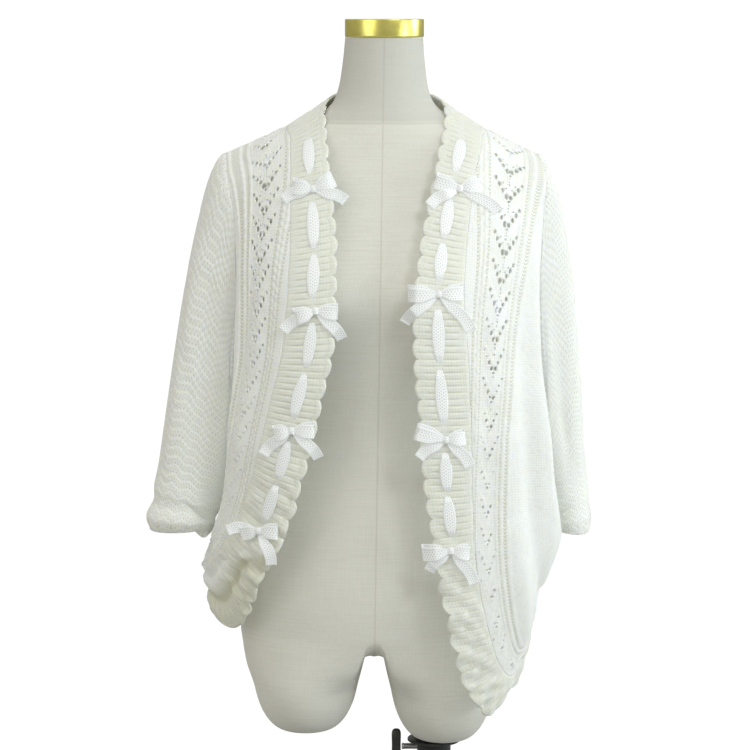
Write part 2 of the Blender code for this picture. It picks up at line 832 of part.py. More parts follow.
def seam_point(row):
    return row * BAND_ACROSS + BAND_ACROSS - 1


def band_strip(side, coarse):
    """Points, relief and pinned seam points of one stretch of band."""
    points, relief, pinned = [], [], {}
    rows = band_rows(coarse)
    for number, (t, before, after, share) in enumerate(rows):
        edge, middle = band_point(side, t, 0), band_point(side, t, 0.5)
        lobe = SCALLOP_DEPTH * math.sin(math.pi * share) ** LOBE_ROUNDNESS if share else 0.0
        edge = edge + (edge - middle).normalized() * lobe
        seam = side.seam(rows[before][0]).lerp(side.seam(rows[after][0]), share)
        points += [edge, middle, seam]
        rib = RIB_HEIGHT if number % 2 else 0.0
        relief += [rib * RIB_AT_EDGE, rib, rib]
        if share:
            pinned[seam_point(number)] = (seam_point(before), seam_point(after), share)
    return points, relief, pinned, len(rows)


def make_band(name, side, coarse):
    points, relief, pinned, rows = band_strip(side, coarse)
    return Cloth(name, points, grid_faces(rows, BAND_ACROSS), out_of_axis, relief, pinned)


def make_joined_band(name, side_rows, flip):
    """A band across the middle of the back, from one side's rows to the other's."""
    points, relief, pinned = [], [], {}
    for side, coarse in zip(SIDES, side_rows):
        strip, heights, pins, rows = band_strip(side, coarse)
        order = list(range(rows))
        if (side is SIDES[0]) == flip:
            order.reverse()
        if points:
            order = order[1:]
        place = {row: len(points) // BAND_ACROSS + i for i, row in enumerate(order)}
        if len(place) < rows:
            missing = next(r for r in range(rows) if r not in place)
            place[missing] = len(points) // BAND_ACROSS - 1
        for row in order:
            points += strip[BAND_ACROSS * row : BAND_ACROSS * (row + 1)]
            relief += heights[BAND_ACROSS * row : BAND_ACROSS * (row + 1)]
        for index, (before, after, share) in pins.items():
            row, upper, lower = (place[i // BAND_ACROSS] for i in (index, before, after))
            pinned[seam_point(row)] = (seam_point(upper), seam_point(lower), share)
    rows = len(points) // BAND_ACROSS
    return Cloth(name, points, grid_faces(rows, BAND_ACROSS), out_of_axis, relief, pinned)


INSIDE_OUTLINE = 1
SHOULDER_STEPS = 6
SIDE_STEPS = 3
UNDER_STEPS = 3
UNDER_FRONT = 0.8
UNDER_BACK = 0.4
NARROW_UNDER = 0.3


# Lines up each front, as shares of its width, and how far each stands out
FRONT_LINES = (
    (0.10, 0.8),
    (0.19, 0.0),
    (0.46, 0.0),
    (0.73, 0.0),
    (0.84, 1.0),
    (0.93, 0.0),
)
EDGE_ROOM = 6.0 * MM
CABLE_SUNK = 0.55
LACE_NARROWEST = 52.0 * MM
LACE_END_ROOM = 1.6 * LACE_PITCH
HOLE_CLEAR_U = 1.7
HOLE_CLEAR_T = 1.9

# How the fronts and the back are laid flat for meshing: width and height of their parameters
FRONT_FLAT = (0.10, 0.055)
BACK_FLAT = (0.2, 0.5)
SAME_PLACE = 1e-7


def cable_height(index, row):
    """A front line's relief: its cables swell and sink in turn where they cross."""
    share = FRONT_LINES[index][1]
    crossing = 1.0 if (row + index) % 2 else CABLE_SUNK
    return CABLE_HEIGHT * share * crossing


def lace_holes(side):
    """Leaf rows of diamond holes up a front, each a list of (u, t) corners."""
    holes = []
    lengths = [0.0]
    fine = [1 + 12 * i / 240 for i in range(241)]
    middles = [front_point(side, LACE_MIDDLE, t) for t in fine]
    for a, b in zip(middles, middles[1:]):
        lengths.append(lengths[-1] + (b - a).length)
    wanted = LACE_PITCH
    for index in range(1, len(fine)):
        if lengths[index] < wanted:
            continue
        wanted += LACE_PITCH
        t = fine[index]
        width = (side.arm(t) - side.seam(t)).length
        speed = (lengths[index] - lengths[index - 1]) / (fine[index] - fine[index - 1])
        if width < LACE_NARROWEST or lengths[-1] - lengths[index] < LACE_END_ROOM:
            continue
        for aside, up in LACE_ARM:
            for hand in (-1, 1):
                u = LACE_MIDDLE + hand * aside * MM / width
                at = t - up * MM / speed
                half_u, half_t = HOLE_HALF / width, HOLE_HALF / speed
                holes.append([(u - half_u, at), (u, at + half_t), (u + half_u, at), (u, at - half_t)])
    return holes


def line_edges(places, line):
    """The edges of a line that the mesh has to follow, given by its places."""
    numbers = [places.index(place) for place in line]
    return list(zip(numbers, numbers[1:]))


def make_front(side):
    rows = side.front_rows

    def flat_under(s, t):
        return (1 + UNDER_FRONT * s * (1 - side.below_underarm(t)), t)

    def place_at(u, t):
        if u <= 1:
            return front_point(side, u, t)
        return front_under(side, (u - 1) / (flat_under(1, t)[0] - 1), t)

    outline = [(0.0, t) for t in rows]
    outline += [(i / SIDE_STEPS, 13.0) for i in range(1, SIDE_STEPS)]
    outline += [flat_under(1, t) for t in reversed(side.side_rows)]
    outline += [flat_under(i / UNDER_STEPS, side.underarm) for i in range(UNDER_STEPS, 0, -1)]
    outline += [(1.0, t) for t in reversed(side.arm_rows)]
    outline += [(i / SHOULDER_STEPS, 1.0) for i in reversed(range(1, SHOULDER_STEPS))]
    holes = lace_holes(side)
    heights = {}
    turn = [(1.0, t) for t in side.side_rows[:-1]]
    inside = list(turn)
    for t in side.side_rows[:-1]:
        if side.below_underarm(t) < 1 - NARROW_UNDER:
            inside += [flat_under(i / UNDER_STEPS, t) for i in range(1, UNDER_STEPS)]
    for row, t in enumerate(rows[1:-1]):
        width = (side.arm(t) - side.seam(t)).length
        for index, (u, _) in enumerate(FRONT_LINES):
            near = min(u, 1 - u) * width < EDGE_ROOM or any(
                abs(u - hole[1][0]) < abs(hole[0][0] - hole[1][0]) * HOLE_CLEAR_U
                and abs(t - hole[0][1]) < abs(hole[1][1] - hole[0][1]) * HOLE_CLEAR_T
                for hole in holes
            )
            if near:
                continue
            heights[len(outline) + len(inside)] = cable_height(index, row)
            inside.append((u, t))
    corners = [corner for hole in holes for corner in hole]
    places = outline + inside + corners
    edges = [(i, (i + 1) % len(outline)) for i in range(len(outline))]
    edges += line_edges(places, [(1.0, side.underarm)] + turn + [(1.0, 13.0)])
    first = len(outline) + len(inside)
    for number in range(len(holes)):
        start = first + 4 * number
        edges += [(start + i, start + (i + 1) % 4) for i in range(4)]
    flat = [Vector((u * FRONT_FLAT[0], t * FRONT_FLAT[1])) for u, t in places]
    _, _, faces, came_from, _, _ = geometry.delaunay_2d_cdt(flat, edges, [], INSIDE_OUTLINE, SAME_PLACE)
    origin = [source[0] for source in came_from]
    kept = []
    for face in faces:
        corners_of = [origin[i] for i in face]
        holes_of = {(i - first) // 4 for i in corners_of if i >= first}
        if len(holes_of) == 1 and all(i >= first for i in corners_of):
            continue
        kept.append(tuple(corners_of))
    points = [place_at(u, t) for u, t in places]
    relief = [heights.get(i, 0.0) for i in range(len(places))]
    return Cloth("front_" + side.name, points, kept, out_of_axis, relief)


BACK_COLUMNS = 11
BACK_DENSE_LEVELS = 4
BACK_DENSE_FROM = 3


def make_back():
    right, left = SIDES

    def flat_under(s, share):
        return (1 + UNDER_BACK * s * (1 - share), UNDERARM_V * (1 - share) + SIDE_V * share)

    def place_at(u, v):
        side = right if u < 0 else left
        share = (v - UNDERARM_V) / (SIDE_V - UNDERARM_V)
        if abs(u) <= 1:
            return back_point(u, v)
        return back_under(side, (abs(u) - 1) / (flat_under(1, share)[0] - 1), v)

    def outer_line(side):
        """Down the armhole, under the arm to the side seam, and down that to the hem."""
        line = [(1.0, v) for v in arm_levels]
        line += [flat_under(i / UNDER_STEPS, 0) for i in range(1, UNDER_STEPS + 1)]
        line += [flat_under(1, side.below_underarm(t)) for t in side.side_rows]
        return line + [(1.0, v) for v in side_levels]

    top = [(-0.5 - 0.5 * i / SHOULDER_STEPS, 0.0) for i in range(SHOULDER_STEPS, 0, -1)]
    top += [(-0.5 * t, 0.0) for t in reversed(right.neck_rows)]
    top += [(0.5 * t, 0.0) for t in left.neck_rows[1:]]
    top += [(0.5 + 0.5 * i / SHOULDER_STEPS, 0.0) for i in range(1, SHOULDER_STEPS + 1)]
    levels = [SIDE_V * back_arm_share(i) for i in range(1, BACK_ARM_STEPS + 1)]
    arm_levels, turn_levels = levels[:BACK_UNDERARM_STEP], levels[BACK_UNDERARM_STEP:-1]
    side_levels = [SIDE_V + (1 - SIDE_V) * i / SIDE_STEPS for i in range(1, SIDE_STEPS + 1)]
    down = outer_line(left)
    hem = [((15 - t) / 2, 1.0) for t in left.hem_rows[1:]]
    hem += [(-(15 - t) / 2, 1.0) for t in reversed(right.hem_rows[:-1])]
    up = [(-u, v) for u, v in reversed(outer_line(right)[:-1])]
    outline = top + down + hem + up
    inside = []
    for number, v in enumerate(levels + side_levels[:-1]):
        stride = 1 if number < BACK_DENSE_LEVELS else 2
        inside += [(i / BACK_COLUMNS, v) for i in range(1 - BACK_COLUMNS, BACK_COLUMNS, stride)]
    for above, below in zip(levels, levels[1:BACK_DENSE_LEVELS]):
        for i in range(BACK_DENSE_FROM, BACK_COLUMNS):
            inside += [(hand * i / BACK_COLUMNS, (above + below) / 2) for hand in (-1, 1)]
    for v in turn_levels:
        share = (v - UNDERARM_V) / (SIDE_V - UNDERARM_V)
        inside += [(-1.0, v), (1.0, v)]
        if share < 1 - NARROW_UNDER:
            u, v = flat_under(0.5, share)
            inside += [(-u, v), (u, v)]
    places = outline + inside
    edges = [(i, (i + 1) % len(outline)) for i in range(len(outline))]
    for u in (-1.0, 1.0):
        edges += line_edges(places, [(u, v) for v in levels[BACK_UNDERARM_STEP - 1 :]])
    flat = [Vector((u * BACK_FLAT[0], v * BACK_FLAT[1])) for u, v in places]
    _, _, faces, came_from, _, _ = geometry.delaunay_2d_cdt(flat, edges, [], INSIDE_OUTLINE, SAME_PLACE)
    origin = [source[0] for source in came_from]
    kept = [tuple(origin[i] for i in face) for face in faces]
    points = [place_at(u, v) for u, v in places]
    return Cloth("back", points, kept, out_of_axis)


SLEEVE_ROWS = (0, 0.05, 0.14, 0.27, 0.42, 0.58, 0.73, 0.85, 0.92, 1.0)


def make_sleeve(side):
    under = [(0.5 - UNDERARM_Q) * i / UNDER_STEPS for i in range(1, UNDER_STEPS + 1)]
    turns = [UNDERARM_Q * (t - 1) / (side.underarm - 1) for t in side.arm_rows]
    turns += [UNDERARM_Q + share for share in under]
    turns += [1 - UNDERARM_Q - share for share in reversed(under[:-1])]
    for step in range(BACK_UNDERARM_STEP, 0, -1):
        turns.append(1 - UNDERARM_Q * back_arm_share(step) / back_arm_share(BACK_UNDERARM_STEP))
    points = [sleeve_point(side, q, w) for w in SLEEVE_ROWS for q in turns]
    middles = []
    for row in range(len(SLEEVE_ROWS)):
        ring = points[row * len(turns) : (row + 1) * len(turns)]
        middles.append(sum(ring, Vector()) / len(ring))

    def inside(point):
        return min(middles[2:], key=lambda middle: abs(middle.z - point.z))

    faces = grid_faces(len(SLEEVE_ROWS), len(turns), closed=True)
    sleeve = Cloth("sleeve_" + side.name, points, faces, inside)
    sleeve.around = len(turns)
    sleeve.under = range(len(side.arm_rows) - 1, len(side.arm_rows) + 2 * UNDER_STEPS)
    return sleeve


RIBBON_STEPS = 4
RIBBON_ENDS = 0.35
RIBBON_ARCH = 0.6 * MM
RIBBON_CROWN = 0.5 * MM
NEAR_W = 0.1
NEAR_T = 0.02


def make_ribbon(side, number, t_from, t_to):
    """A stretch of ribbon over the band, narrow where it dives through the knit."""
    points = []
    for step in range(RIBBON_STEPS + 1):
        share = step / RIBBON_STEPS
        t = t_from + (t_to - t_from) * share
        half = RIBBON_WIDTH / 2 * (RIBBON_ENDS + (1 - RIBBON_ENDS) * math.sin(math.pi * share))
        left = band_point(side, t, RIBBON_LINE - NEAR_W)
        right = band_point(side, t, RIBBON_LINE + NEAR_W)
        middle, way = band_point(side, t, RIBBON_LINE), (right - left).normalized()
        down = band_point(side, t + NEAR_T, RIBBON_LINE) - band_point(side, t - NEAR_T, RIBBON_LINE)
        out = way.cross(down).normalized()
        if out.dot(middle - out_of_axis(middle)) < 0:
            out = -out
        lift = RIBBON_LIFT + RIBBON_ARCH * math.sin(math.pi * share)
        for place in (-1, 0, 1):
            rise = lift + RIBBON_CROWN * (1 - place * place)
            points.append(middle + way * (half * place) + out * rise)
    return Cloth(f"ribbon_{side.name}_{number}", points, grid_faces(RIBBON_STEPS + 1, 3), out_of_axis)


FIRST_RIBBON_ROW = 2.2
ABOVE_FIRST_BOW = 0.25
BESIDE_KNOT = 0.16
BETWEEN_RIBBONS = 0.06


def ribbon_spans(side):
    """Row spans of the ribbon's stretches, between the bows and beside the ends."""
    knots = [bow.row for bow in side.bows]
    spans = [(FIRST_RIBBON_ROW, knots[0] - ABOVE_FIRST_BOW)]
    for above, below in zip(knots, knots[1:]):
        start, end = above + BESIDE_KNOT, below - BESIDE_KNOT
        step = (end - start) / RIBBONS_BETWEEN
        for number in range(RIBBONS_BETWEEN):
            first = start + step * (number + BETWEEN_RIBBONS)
            spans.append((first, start + step * (number + 1 - BETWEEN_RIBBONS)))
    return spans


# Down a bow's loops and tails, in mm: share of the length, half width and lift
LOOP_STEPS = ((0.5, 6.6, 5.0), (0.85, 8.0, 4.2), (1.0, 7.6, 1.2))
TAIL_STEPS = ((0.4, 5.2, 1.4), (0.72, 6.6, 0.6), (1.0, 7.0, 1.6))
KNOT_LIFT = 2.6
KNOT_CROWN = 3.2


def lay_strip(points, faces, start, tip, widening, hand):
    """A loop or tail of a bow's flat plan, from the knot's two points out to its tip."""
    a, b = tip
    length = math.hypot(a, b)
    previous = start
    for share, half, lift in widening:
        first = len(points)
        for way in (hand, -hand):
            aside = half * way / length
            points.append((a * share - b * aside, b * share + a * aside, lift))
        faces.append((previous[0], first, first + 1, previous[1]))
        previous = (first, first + 1)


def bow_plan(bow):
    """Flat points (across, up, lift) of a bow and the quads between them."""
    half_a, half_b = KNOT_HALF
    points = [(a, b, KNOT_LIFT) for a, b in ((-half_a, half_b), (half_a, half_b))]
    points += [(a, b, KNOT_LIFT) for a, b in ((half_a, -half_b), (-half_a, -half_b))]
    points += [(0, half_b, KNOT_CROWN), (0, -half_b, KNOT_CROWN)]
    faces = [(0, 4, 5, 3), (4, 1, 2, 5)]
    for start, tip in (((0, 3), bow.loop_a), ((1, 2), bow.loop_b)):
        lay_strip(points, faces, start, tip, LOOP_STEPS, 1 if tip[0] > 0 else -1)
    for start, tip in (((3, 5), bow.tail_a), ((5, 2), bow.tail_b)):
        lay_strip(points, faces, start, tip, TAIL_STEPS, -1)
    return points, [turned_one_way(points, face) for face in faces]


def turned_one_way(points, face):
    """The face's corners in clockwise order, as seen from the front."""
    area = 0.0
    for i, j in zip(face, face[1:] + face[:1]):
        area += points[i][0] * points[j][1] - points[j][0] * points[i][1]
    return face if area < 0 else tuple(reversed(face))


IN_FRONT_OF_ALL = -0.4
STEEPEST = 0.5


def make_bow(side, number, bow, surface):
    """A bow laid over whatever cloth lies behind it."""
    knot = band_point(side, bow.row, bow.across)
    plan, faces = bow_plan(bow)

    def depth_at(x, z):
        """The furthest back that the ribbon's middle can lie here, by the cloth's slope."""
        hit, facing, _, _ = surface.ray_cast(Vector((x, IN_FRONT_OF_ALL, z)), Vector((0, 1, 0)))
        if hit is None or hit.y > knot.y + LOOSE_DEPTH:
            return knot.y + LOOSE_DEPTH
        return hit.y - (RIBBON_WALL / 2 + BOW_GAP) / max(abs(facing.y), STEEPEST)

    points = []
    for a, b, lift in plan:
        x, z = knot.x + a * MM, knot.z + b * MM
        points.append(Vector((x, depth_at(x, z) - lift * MM, z)))
    forward = [0.0] * len(points)
    for face in faces:
        corners = [points[i] for i in face]
        for i in range(BOW_SAMPLES + 1):
            for j in range(BOW_SAMPLES + 1):
                upper = corners[0].lerp(corners[1], i / BOW_SAMPLES)
                lower = corners[3].lerp(corners[2], i / BOW_SAMPLES)
                place = upper.lerp(lower, j / BOW_SAMPLES)
                needed = place.y - depth_at(place.x, place.z)
                for index in face:
                    forward[index] = max(forward[index], needed)
    points = [point - Vector((0, push, 0)) for point, push in zip(points, forward)]
    return Cloth(f"bow_{side.name}_{number}", points, faces, lambda p: p + Vector((0, 1, 0)))


def surface_of(objects):
    """The objects' meshes together, for laying one thing over another."""
    corners, faces = [], []
    for obj in objects:
        start = len(corners)
        corners += [vertex.co.copy() for vertex in obj.data.vertices]
        faces += [tuple(start + i for i in face.vertices) for face in obj.data.polygons]
    return BVHTree.FromPolygons(corners, faces)


def make_cloth(form):
    right, left = SIDES
    cloths = [
        make_front(right),
        make_front(left),
        make_back(),
        make_sleeve(right),
        make_sleeve(left),
        make_band("band_right", right, right.front_rows),
        make_band("band_left", left, left.front_rows),
        make_joined_band("band_neck", (right.neck_rows, left.neck_rows), True),
        make_joined_band("band_hem", (right.hem_rows, left.hem_rows), False),
    ]
    add_normals(cloths)
    set_beside(cloths[3], (cloths[0], cloths[2]), right.sign)
    set_beside(cloths[4], (cloths[1], cloths[2]), left.sign)
    made = []
    for cloth in cloths:
        bm = band_wall(cloth) if cloth.name.startswith("band") else wall_of(cloth)
        made.append(add_object(cloth.name, bm, "knit"))
    for side in SIDES:
        for number, (t_from, t_to) in enumerate(ribbon_spans(side), 1):
            ribbon = make_ribbon(side, number, t_from, t_to)
            add_normals([ribbon])
            made.append(add_object(ribbon.name, wall_of(ribbon, RIBBON_WALL), "lace_ribbon"))
    surface = surface_of(made + [form])
    for side in SIDES:
        for number, bow in enumerate(side.bows, 1):
            cloth = make_bow(side, number, bow, surface)
            add_normals([cloth])
            bm = wall_of(cloth, RIBBON_WALL)
            touches = True
            while touches:
                touches = surface.overlap(BVHTree.FromBMesh(bm))
                bmesh.ops.translate(bm, verts=bm.verts[:], vec=(0, -SEAM_GAP, 0))
            add_object(cloth.name, bm, "lace_ribbon")


def form_ring(z):
    """One section of the form, from the front's middle round by the left side."""
    half_width, front, back = FORM.at(-z)
    ring = []
    for number in range(RING_POINTS):
        angle = 2 * math.pi * number / RING_POINTS
        x, toward = half_width * math.sin(angle), math.cos(angle)
        depth = form_front(x, z, front) if toward > 0 else back
        ring.append(Vector((x + form_lean(z), -depth * toward, z)))
    return ring


CROTCH_POINTS = 5
FORM_LEVELS = (
    1108, 1078, 1050, 1033, 1021, 1010, 999, 988, 977, 965, 949, 926, 896, 862,
    832, 804, 774, 738, 696, 652, 608, 562, 514, 466, 422, 380,
)
STUB_STEPS = (0.05, 0.20, 0.40, 0.62, 0.80, 0.93, 1.0)
ARCH_HALF = 9.0 * MM
ARCH_ROUNDNESS = 0.6
ARCH_EDGE = 0.5 * MM
STUB_TOP = CROTCH_HEIGHT + 20.0 * MM
STUB_BACK = 4.0 * MM
ROUND_FROM = 0.30

# Shares of a stub by which it's straight down, wholly its own oval, and past the arch
STRAIGHT_BY = 0.3
OVAL_BY = 0.55
ARCH_BY = 0.12


def stub_ring(stub, start, share, arch_x):
    """A section of a thigh's stub, between the crotch's outline and its round bottom."""
    z = STUB_TOP + (stub.bottom * MM - STUB_TOP) * share
    past = max(share - ROUND_FROM, 0) / (1 - ROUND_FROM)
    rounding = math.sqrt(max(1 - past ** 2, 0))
    ring = []
    for number, point in enumerate(start):
        angle = math.atan2(point.x - stub.middle_x * MM, -point.y)
        flat = STUB_FLAT + (1 - STUB_FLAT / (stub.half_x * MM)) * rounding * stub.half_x * MM
        deep = STUB_FLAT + (1 - STUB_FLAT / (stub.half_y * MM)) * rounding * stub.half_y * MM
        oval_x = stub.middle_x * MM + flat * math.sin(angle)
        oval = Vector((oval_x, STUB_BACK - deep * math.cos(angle), z))
        down = (z - point.z) * smooth_step(0, STRAIGHT_BY, share)
        straight = Vector((point.x, point.y, point.z + down))
        if abs(point.x - arch_x) < ARCH_EDGE:
            away = math.copysign(ARCH_HALF, stub.middle_x * MM - arch_x)
            straight.x += away * smooth_step(0, ARCH_BY, share)
        ring.append(straight.lerp(oval, smooth_step(0, OVAL_BY, share)))
    return ring


BORE_FROM = 180.0 * MM
TURNED_SIDES = 28
SCREW_SIDES = 12


def make_form():
    """The torso: stacked sections, split at the crotch into two round stubs."""
    bm = bmesh.new()
    rings = [[bm.verts.new(p) for p in form_ring(level * MM)] for level in FORM_LEVELS]
    bm.faces.new(rings[0])
    for upper, lower in zip(rings, rings[1:]):
        for i in range(RING_POINTS):
            j = (i + 1) % RING_POINTS
            bm.faces.new((upper[j], upper[i], lower[i], lower[j]))
    last = rings[-1]
    front, back = last[0], last[RING_POINTS // 2]
    middle_x = (STUBS[0].middle_x + STUBS[1].middle_x) / 2 * MM
    crotch = []
    for number in range(1, CROTCH_POINTS + 1):
        share = number / (CROTCH_POINTS + 1)
        y = front.co.y + (back.co.y - front.co.y) * share
        z = last[0].co.z - (last[0].co.z - CROTCH_HEIGHT) * math.sin(math.pi * share) ** ARCH_ROUNDNESS
        crotch.append(bm.verts.new((middle_x, y, z)))
    half = RING_POINTS // 2
    left_loop = last[: half + 1] + crotch[::-1]
    right_loop = last[half:] + [last[0]] + crotch
    for stub, loop in ((STUBS[1], left_loop), (STUBS[0], right_loop)):
        start = [vertex.co.copy() for vertex in loop]
        upper = loop
        for share in STUB_STEPS:
            lower = [bm.verts.new(p) for p in stub_ring(stub, start, share, middle_x)]
            for i in range(len(loop)):
                j = (i + 1) % len(loop)
                bm.faces.new((upper[j], upper[i], lower[i], lower[j]))
            upper = lower
        bm.faces.new(upper[::-1])
    bmesh.ops.recalc_face_normals(bm, faces=bm.faces[:])
    form = add_object("form_torso", bm, "linen")
    bore = add_cylinder("pole_bore", POLE_RADIUS + BORE_GAP, BORE_FROM, POLE_TOP + SEAM_GAP, "linen")
    cut_with(form, bore)
    return form


def add_cylinder(name, radius, bottom, top, finish, x=POLE_X, y=POLE_Y, sides=TURNED_SIDES, bevel=0.0):
    bm = bmesh.new()
    bmesh.ops.create_cone(
        bm, cap_ends=True, segments=sides, radius1=radius, radius2=radius, depth=top - bottom
    )
    if bevel:
        rims = [e for e in bm.edges if abs(e.verts[0].co.z - e.verts[1].co.z) < 1e-6]
        bmesh.ops.bevel(bm, geom=rims, offset=bevel, segments=1, affect="EDGES", profile=0.5)
    bmesh.ops.translate(bm, verts=bm.verts[:], vec=(x, y, (top + bottom) / 2))
    return add_object(name, bm, finish)


def cut_with(obj, cutter):
    cutter.hide_render = True
    cutter.display_type = "WIRE"
    cut = obj.modifiers.new("cut " + cutter.name, "BOOLEAN")
    cut.operation = "DIFFERENCE"
    cut.solver = "EXACT"
    cut.object = cutter


SAUCER_CONE = 1.4
SOCKET_BEVEL = 2.0 * MM
SCREW_GAP = 0.3 * MM
SCREW_HOLE_FROM = 35.0 * MM


def make_socket():
    """The saucer under the stub and the tube below it, turned as one profile."""
    profile = (
        (POLE_RADIUS + BORE_GAP, SOCKET_TOP),
        (SAUCER_RADIUS, SOCKET_TOP),
        (SAUCER_RADIUS, SOCKET_TOP - SAUCER_HEIGHT),
        (SOCKET_RADIUS, SOCKET_TOP - SAUCER_CONE * SAUCER_HEIGHT),
        (SOCKET_RADIUS, SOCKET_BOTTOM + SOCKET_BEVEL),
        (SOCKET_RADIUS - SOCKET_BEVEL, SOCKET_BOTTOM),
        (POLE_RADIUS + BORE_GAP, SOCKET_BOTTOM),
    )
    turns = [2 * math.pi * i / TURNED_SIDES for i in range(TURNED_SIDES)]
    bm = bmesh.new()
    rings = []
    for radius, z in profile:
        circle = [(POLE_X + radius * math.cos(turn), POLE_Y + radius * math.sin(turn), z) for turn in turns]
        rings.append([bm.verts.new(point) for point in circle])
    for upper, lower in zip(rings, rings[1:] + rings[:1]):
        for i in range(TURNED_SIDES):
            j = (i + 1) % TURNED_SIDES
            bm.faces.new((upper[j], upper[i], lower[i], lower[j]))
    bmesh.ops.recalc_face_normals(bm, faces=bm.faces[:])
    socket = add_object("stand_socket", bm, "black_stand")
    bore = lying_cylinder(SCREW_RADIUS + SCREW_GAP, SCREW_HOLE_FROM, POLE_X)
    cut_with(socket, add_object("screw_hole", bore, "steel"))


def lying_cylinder(radius, x_from, x_to, sides=SCREW_SIDES):
    """A cylinder along X on the clamp screw's axis."""
    bm = bmesh.new()
    bmesh.ops.create_cone(
        bm, cap_ends=True, segments=sides, radius1=radius, radius2=radius, depth=x_to - x_from
    )
    for vertex in bm.verts:
        x, y, z = vertex.co
        vertex.co = ((x_from + x_to) / 2 + z, POLE_Y + y, SCREW_HEIGHT - x)
    return bm


WING_BEVEL = 3.0 * MM
WING_ROUNDNESS = 0.6


def make_clamp():
    """The bar handle and its screw, one piece that turns in the socket's side."""
    half_x, half_y, half_z = WING_HALF
    bm = bmesh.new()
    bmesh.ops.create_cube(bm, size=2)
    for vertex in bm.verts:
        vertex.co = (
            WING_X + vertex.co.x * half_x,
            POLE_Y + vertex.co.y * half_y,
            SCREW_HEIGHT + vertex.co.z * half_z,
        )
    edges = bm.edges[:]
    bmesh.ops.bevel(bm, geom=edges, offset=WING_BEVEL, segments=1, affect="EDGES", profile=WING_ROUNDNESS)
    add_object("clamp_handle", bm, "black_stand")
    shaft_end = POLE_X - POLE_RADIUS - SEAM_GAP
    add_object("clamp_screw", lying_cylinder(SCREW_RADIUS, WING_X + half_x + SEAM_GAP, shaft_end), "steel")


BASE_SIDES = 48
BASE_BEVEL = 1.5 * MM
CAP_SIDES = 40
CAP_BEVEL = 1.2 * MM


def make_stand():
    add_cylinder("stand_base", BASE_RADIUS, 0, BASE_HEIGHT, "black_stand", 0, 0, BASE_SIDES, BASE_BEVEL)
    add_cylinder("stand_pole", POLE_RADIUS, BASE_HEIGHT + SEAM_GAP, POLE_TOP, "steel")
    make_socket()
    make_clamp()


def make_cap():
    x = form_lean(CAP_TOP)
    add_cylinder("neck_cap", CAP_RADIUS, CAP_BOTTOM, CAP_TOP, "brass", x, 0, CAP_SIDES, CAP_BEVEL)


def main():
    for obj in list(bpy.data.objects):
        bpy.data.objects.remove(obj, do_unlink=True)
    form = make_form()
    make_cap()
    make_stand()
    make_cloth(form)


main()
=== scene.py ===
import math
from collections import namedtuple

import bmesh
import bpy
import numpy as np
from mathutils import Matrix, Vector
from mathutils.bvhtree import BVHTree


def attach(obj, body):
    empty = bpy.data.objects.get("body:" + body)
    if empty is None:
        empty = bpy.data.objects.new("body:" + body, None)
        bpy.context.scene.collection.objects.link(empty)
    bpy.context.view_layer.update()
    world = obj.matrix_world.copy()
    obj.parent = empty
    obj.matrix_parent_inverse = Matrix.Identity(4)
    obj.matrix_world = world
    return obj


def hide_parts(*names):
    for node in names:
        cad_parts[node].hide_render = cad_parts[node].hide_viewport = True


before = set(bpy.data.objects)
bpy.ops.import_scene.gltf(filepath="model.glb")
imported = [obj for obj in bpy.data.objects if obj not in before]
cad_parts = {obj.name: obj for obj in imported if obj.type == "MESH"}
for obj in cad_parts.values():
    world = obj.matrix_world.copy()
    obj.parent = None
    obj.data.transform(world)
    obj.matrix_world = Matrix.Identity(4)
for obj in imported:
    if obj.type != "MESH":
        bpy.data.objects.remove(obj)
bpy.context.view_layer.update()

# Openwork knitted cardigan with ribbon bows, hung open on a limbless dress form.
# Metres, +Z up, the front faces -Y. Right and left are the wearer's. Tables are in millimetres.
MM = 0.001

# Camera, as the photograph's
CAMERA_PLACE = (-0.0061, -3.3, 1.12)
CAMERA_PITCH = 7.31
FOCAL_PIXELS = 2711
PHOTO_WIDTH = 750
SENSOR = 36.0

# Cloth, as in the solids
WALL = 2.4 * MM
SEAM_GAP = 0.3 * MM
REST_GAP = 2.6 * MM
BACK_REST_GAP = 3.3 * MM
SCALLOP = 23.5 * MM
RIBS_A_SCALLOP = 3
RIB_HEIGHT = 1.2 * MM
BAND_CROWN = 3.0 * MM
FRONT_CROWN = 13.0 * MM
NARROW_FRONT = 18.0 * MM
WIDE_FRONT = 85.0 * MM
CUFF_PUFF = 6.0 * MM
CAP_LIFT = 3.0 * MM
SLEEVE_AROUND = 0.22
UNDERARM_ROW = 5.3
UNDERARM_Q = 0.38
TURN_IN = 4.0 * MM
FULL_TURN = 60.0 * MM
SIDE_V = 0.90
BACK_ARM_STEPS = 11
BACK_UNDERARM_STEP = 6
UNDERARM_V = SIDE_V * (BACK_UNDERARM_STEP / BACK_ARM_STEPS) ** 1.4
# Round a sleeve's root, how many walls it stands beside the body under the arm
SET_BESIDE_Q = (0.32, 0.35, 0.38, 0.42, 0.58, 0.62, 0.65, 0.68)
SET_BESIDE = (0.0, 0.5, 1.5, 1.0, 1.0, 1.5, 0.5, 0.0)

# The bands: points, lobes of the free edge, and how fast the ribs calm down the front
BAND_STEPS = 24
BAND_COLUMNS = 16
LOBE_DEPTH = 5.6 * MM
LOBE_SUNK = 1.6 * MM
LOBE_REACH = 0.45
EDGE_CURL = 1.3 * MM
EDGE_BEAD = 0.7 * MM
RIB_GROOVE = 0.13
# Painted shade: width and strength of the lines along the rib grooves, then shade over the whole band and
# beside its free edge
RIB_LINE = 0.09
RIB_LINE_SHADE = 0.34
BAND_SHADE = 0.28
EDGE_SHADE = 0.12
CALM_SHARE = 0.40
CALM_ROWS = (6.6, 9.0)

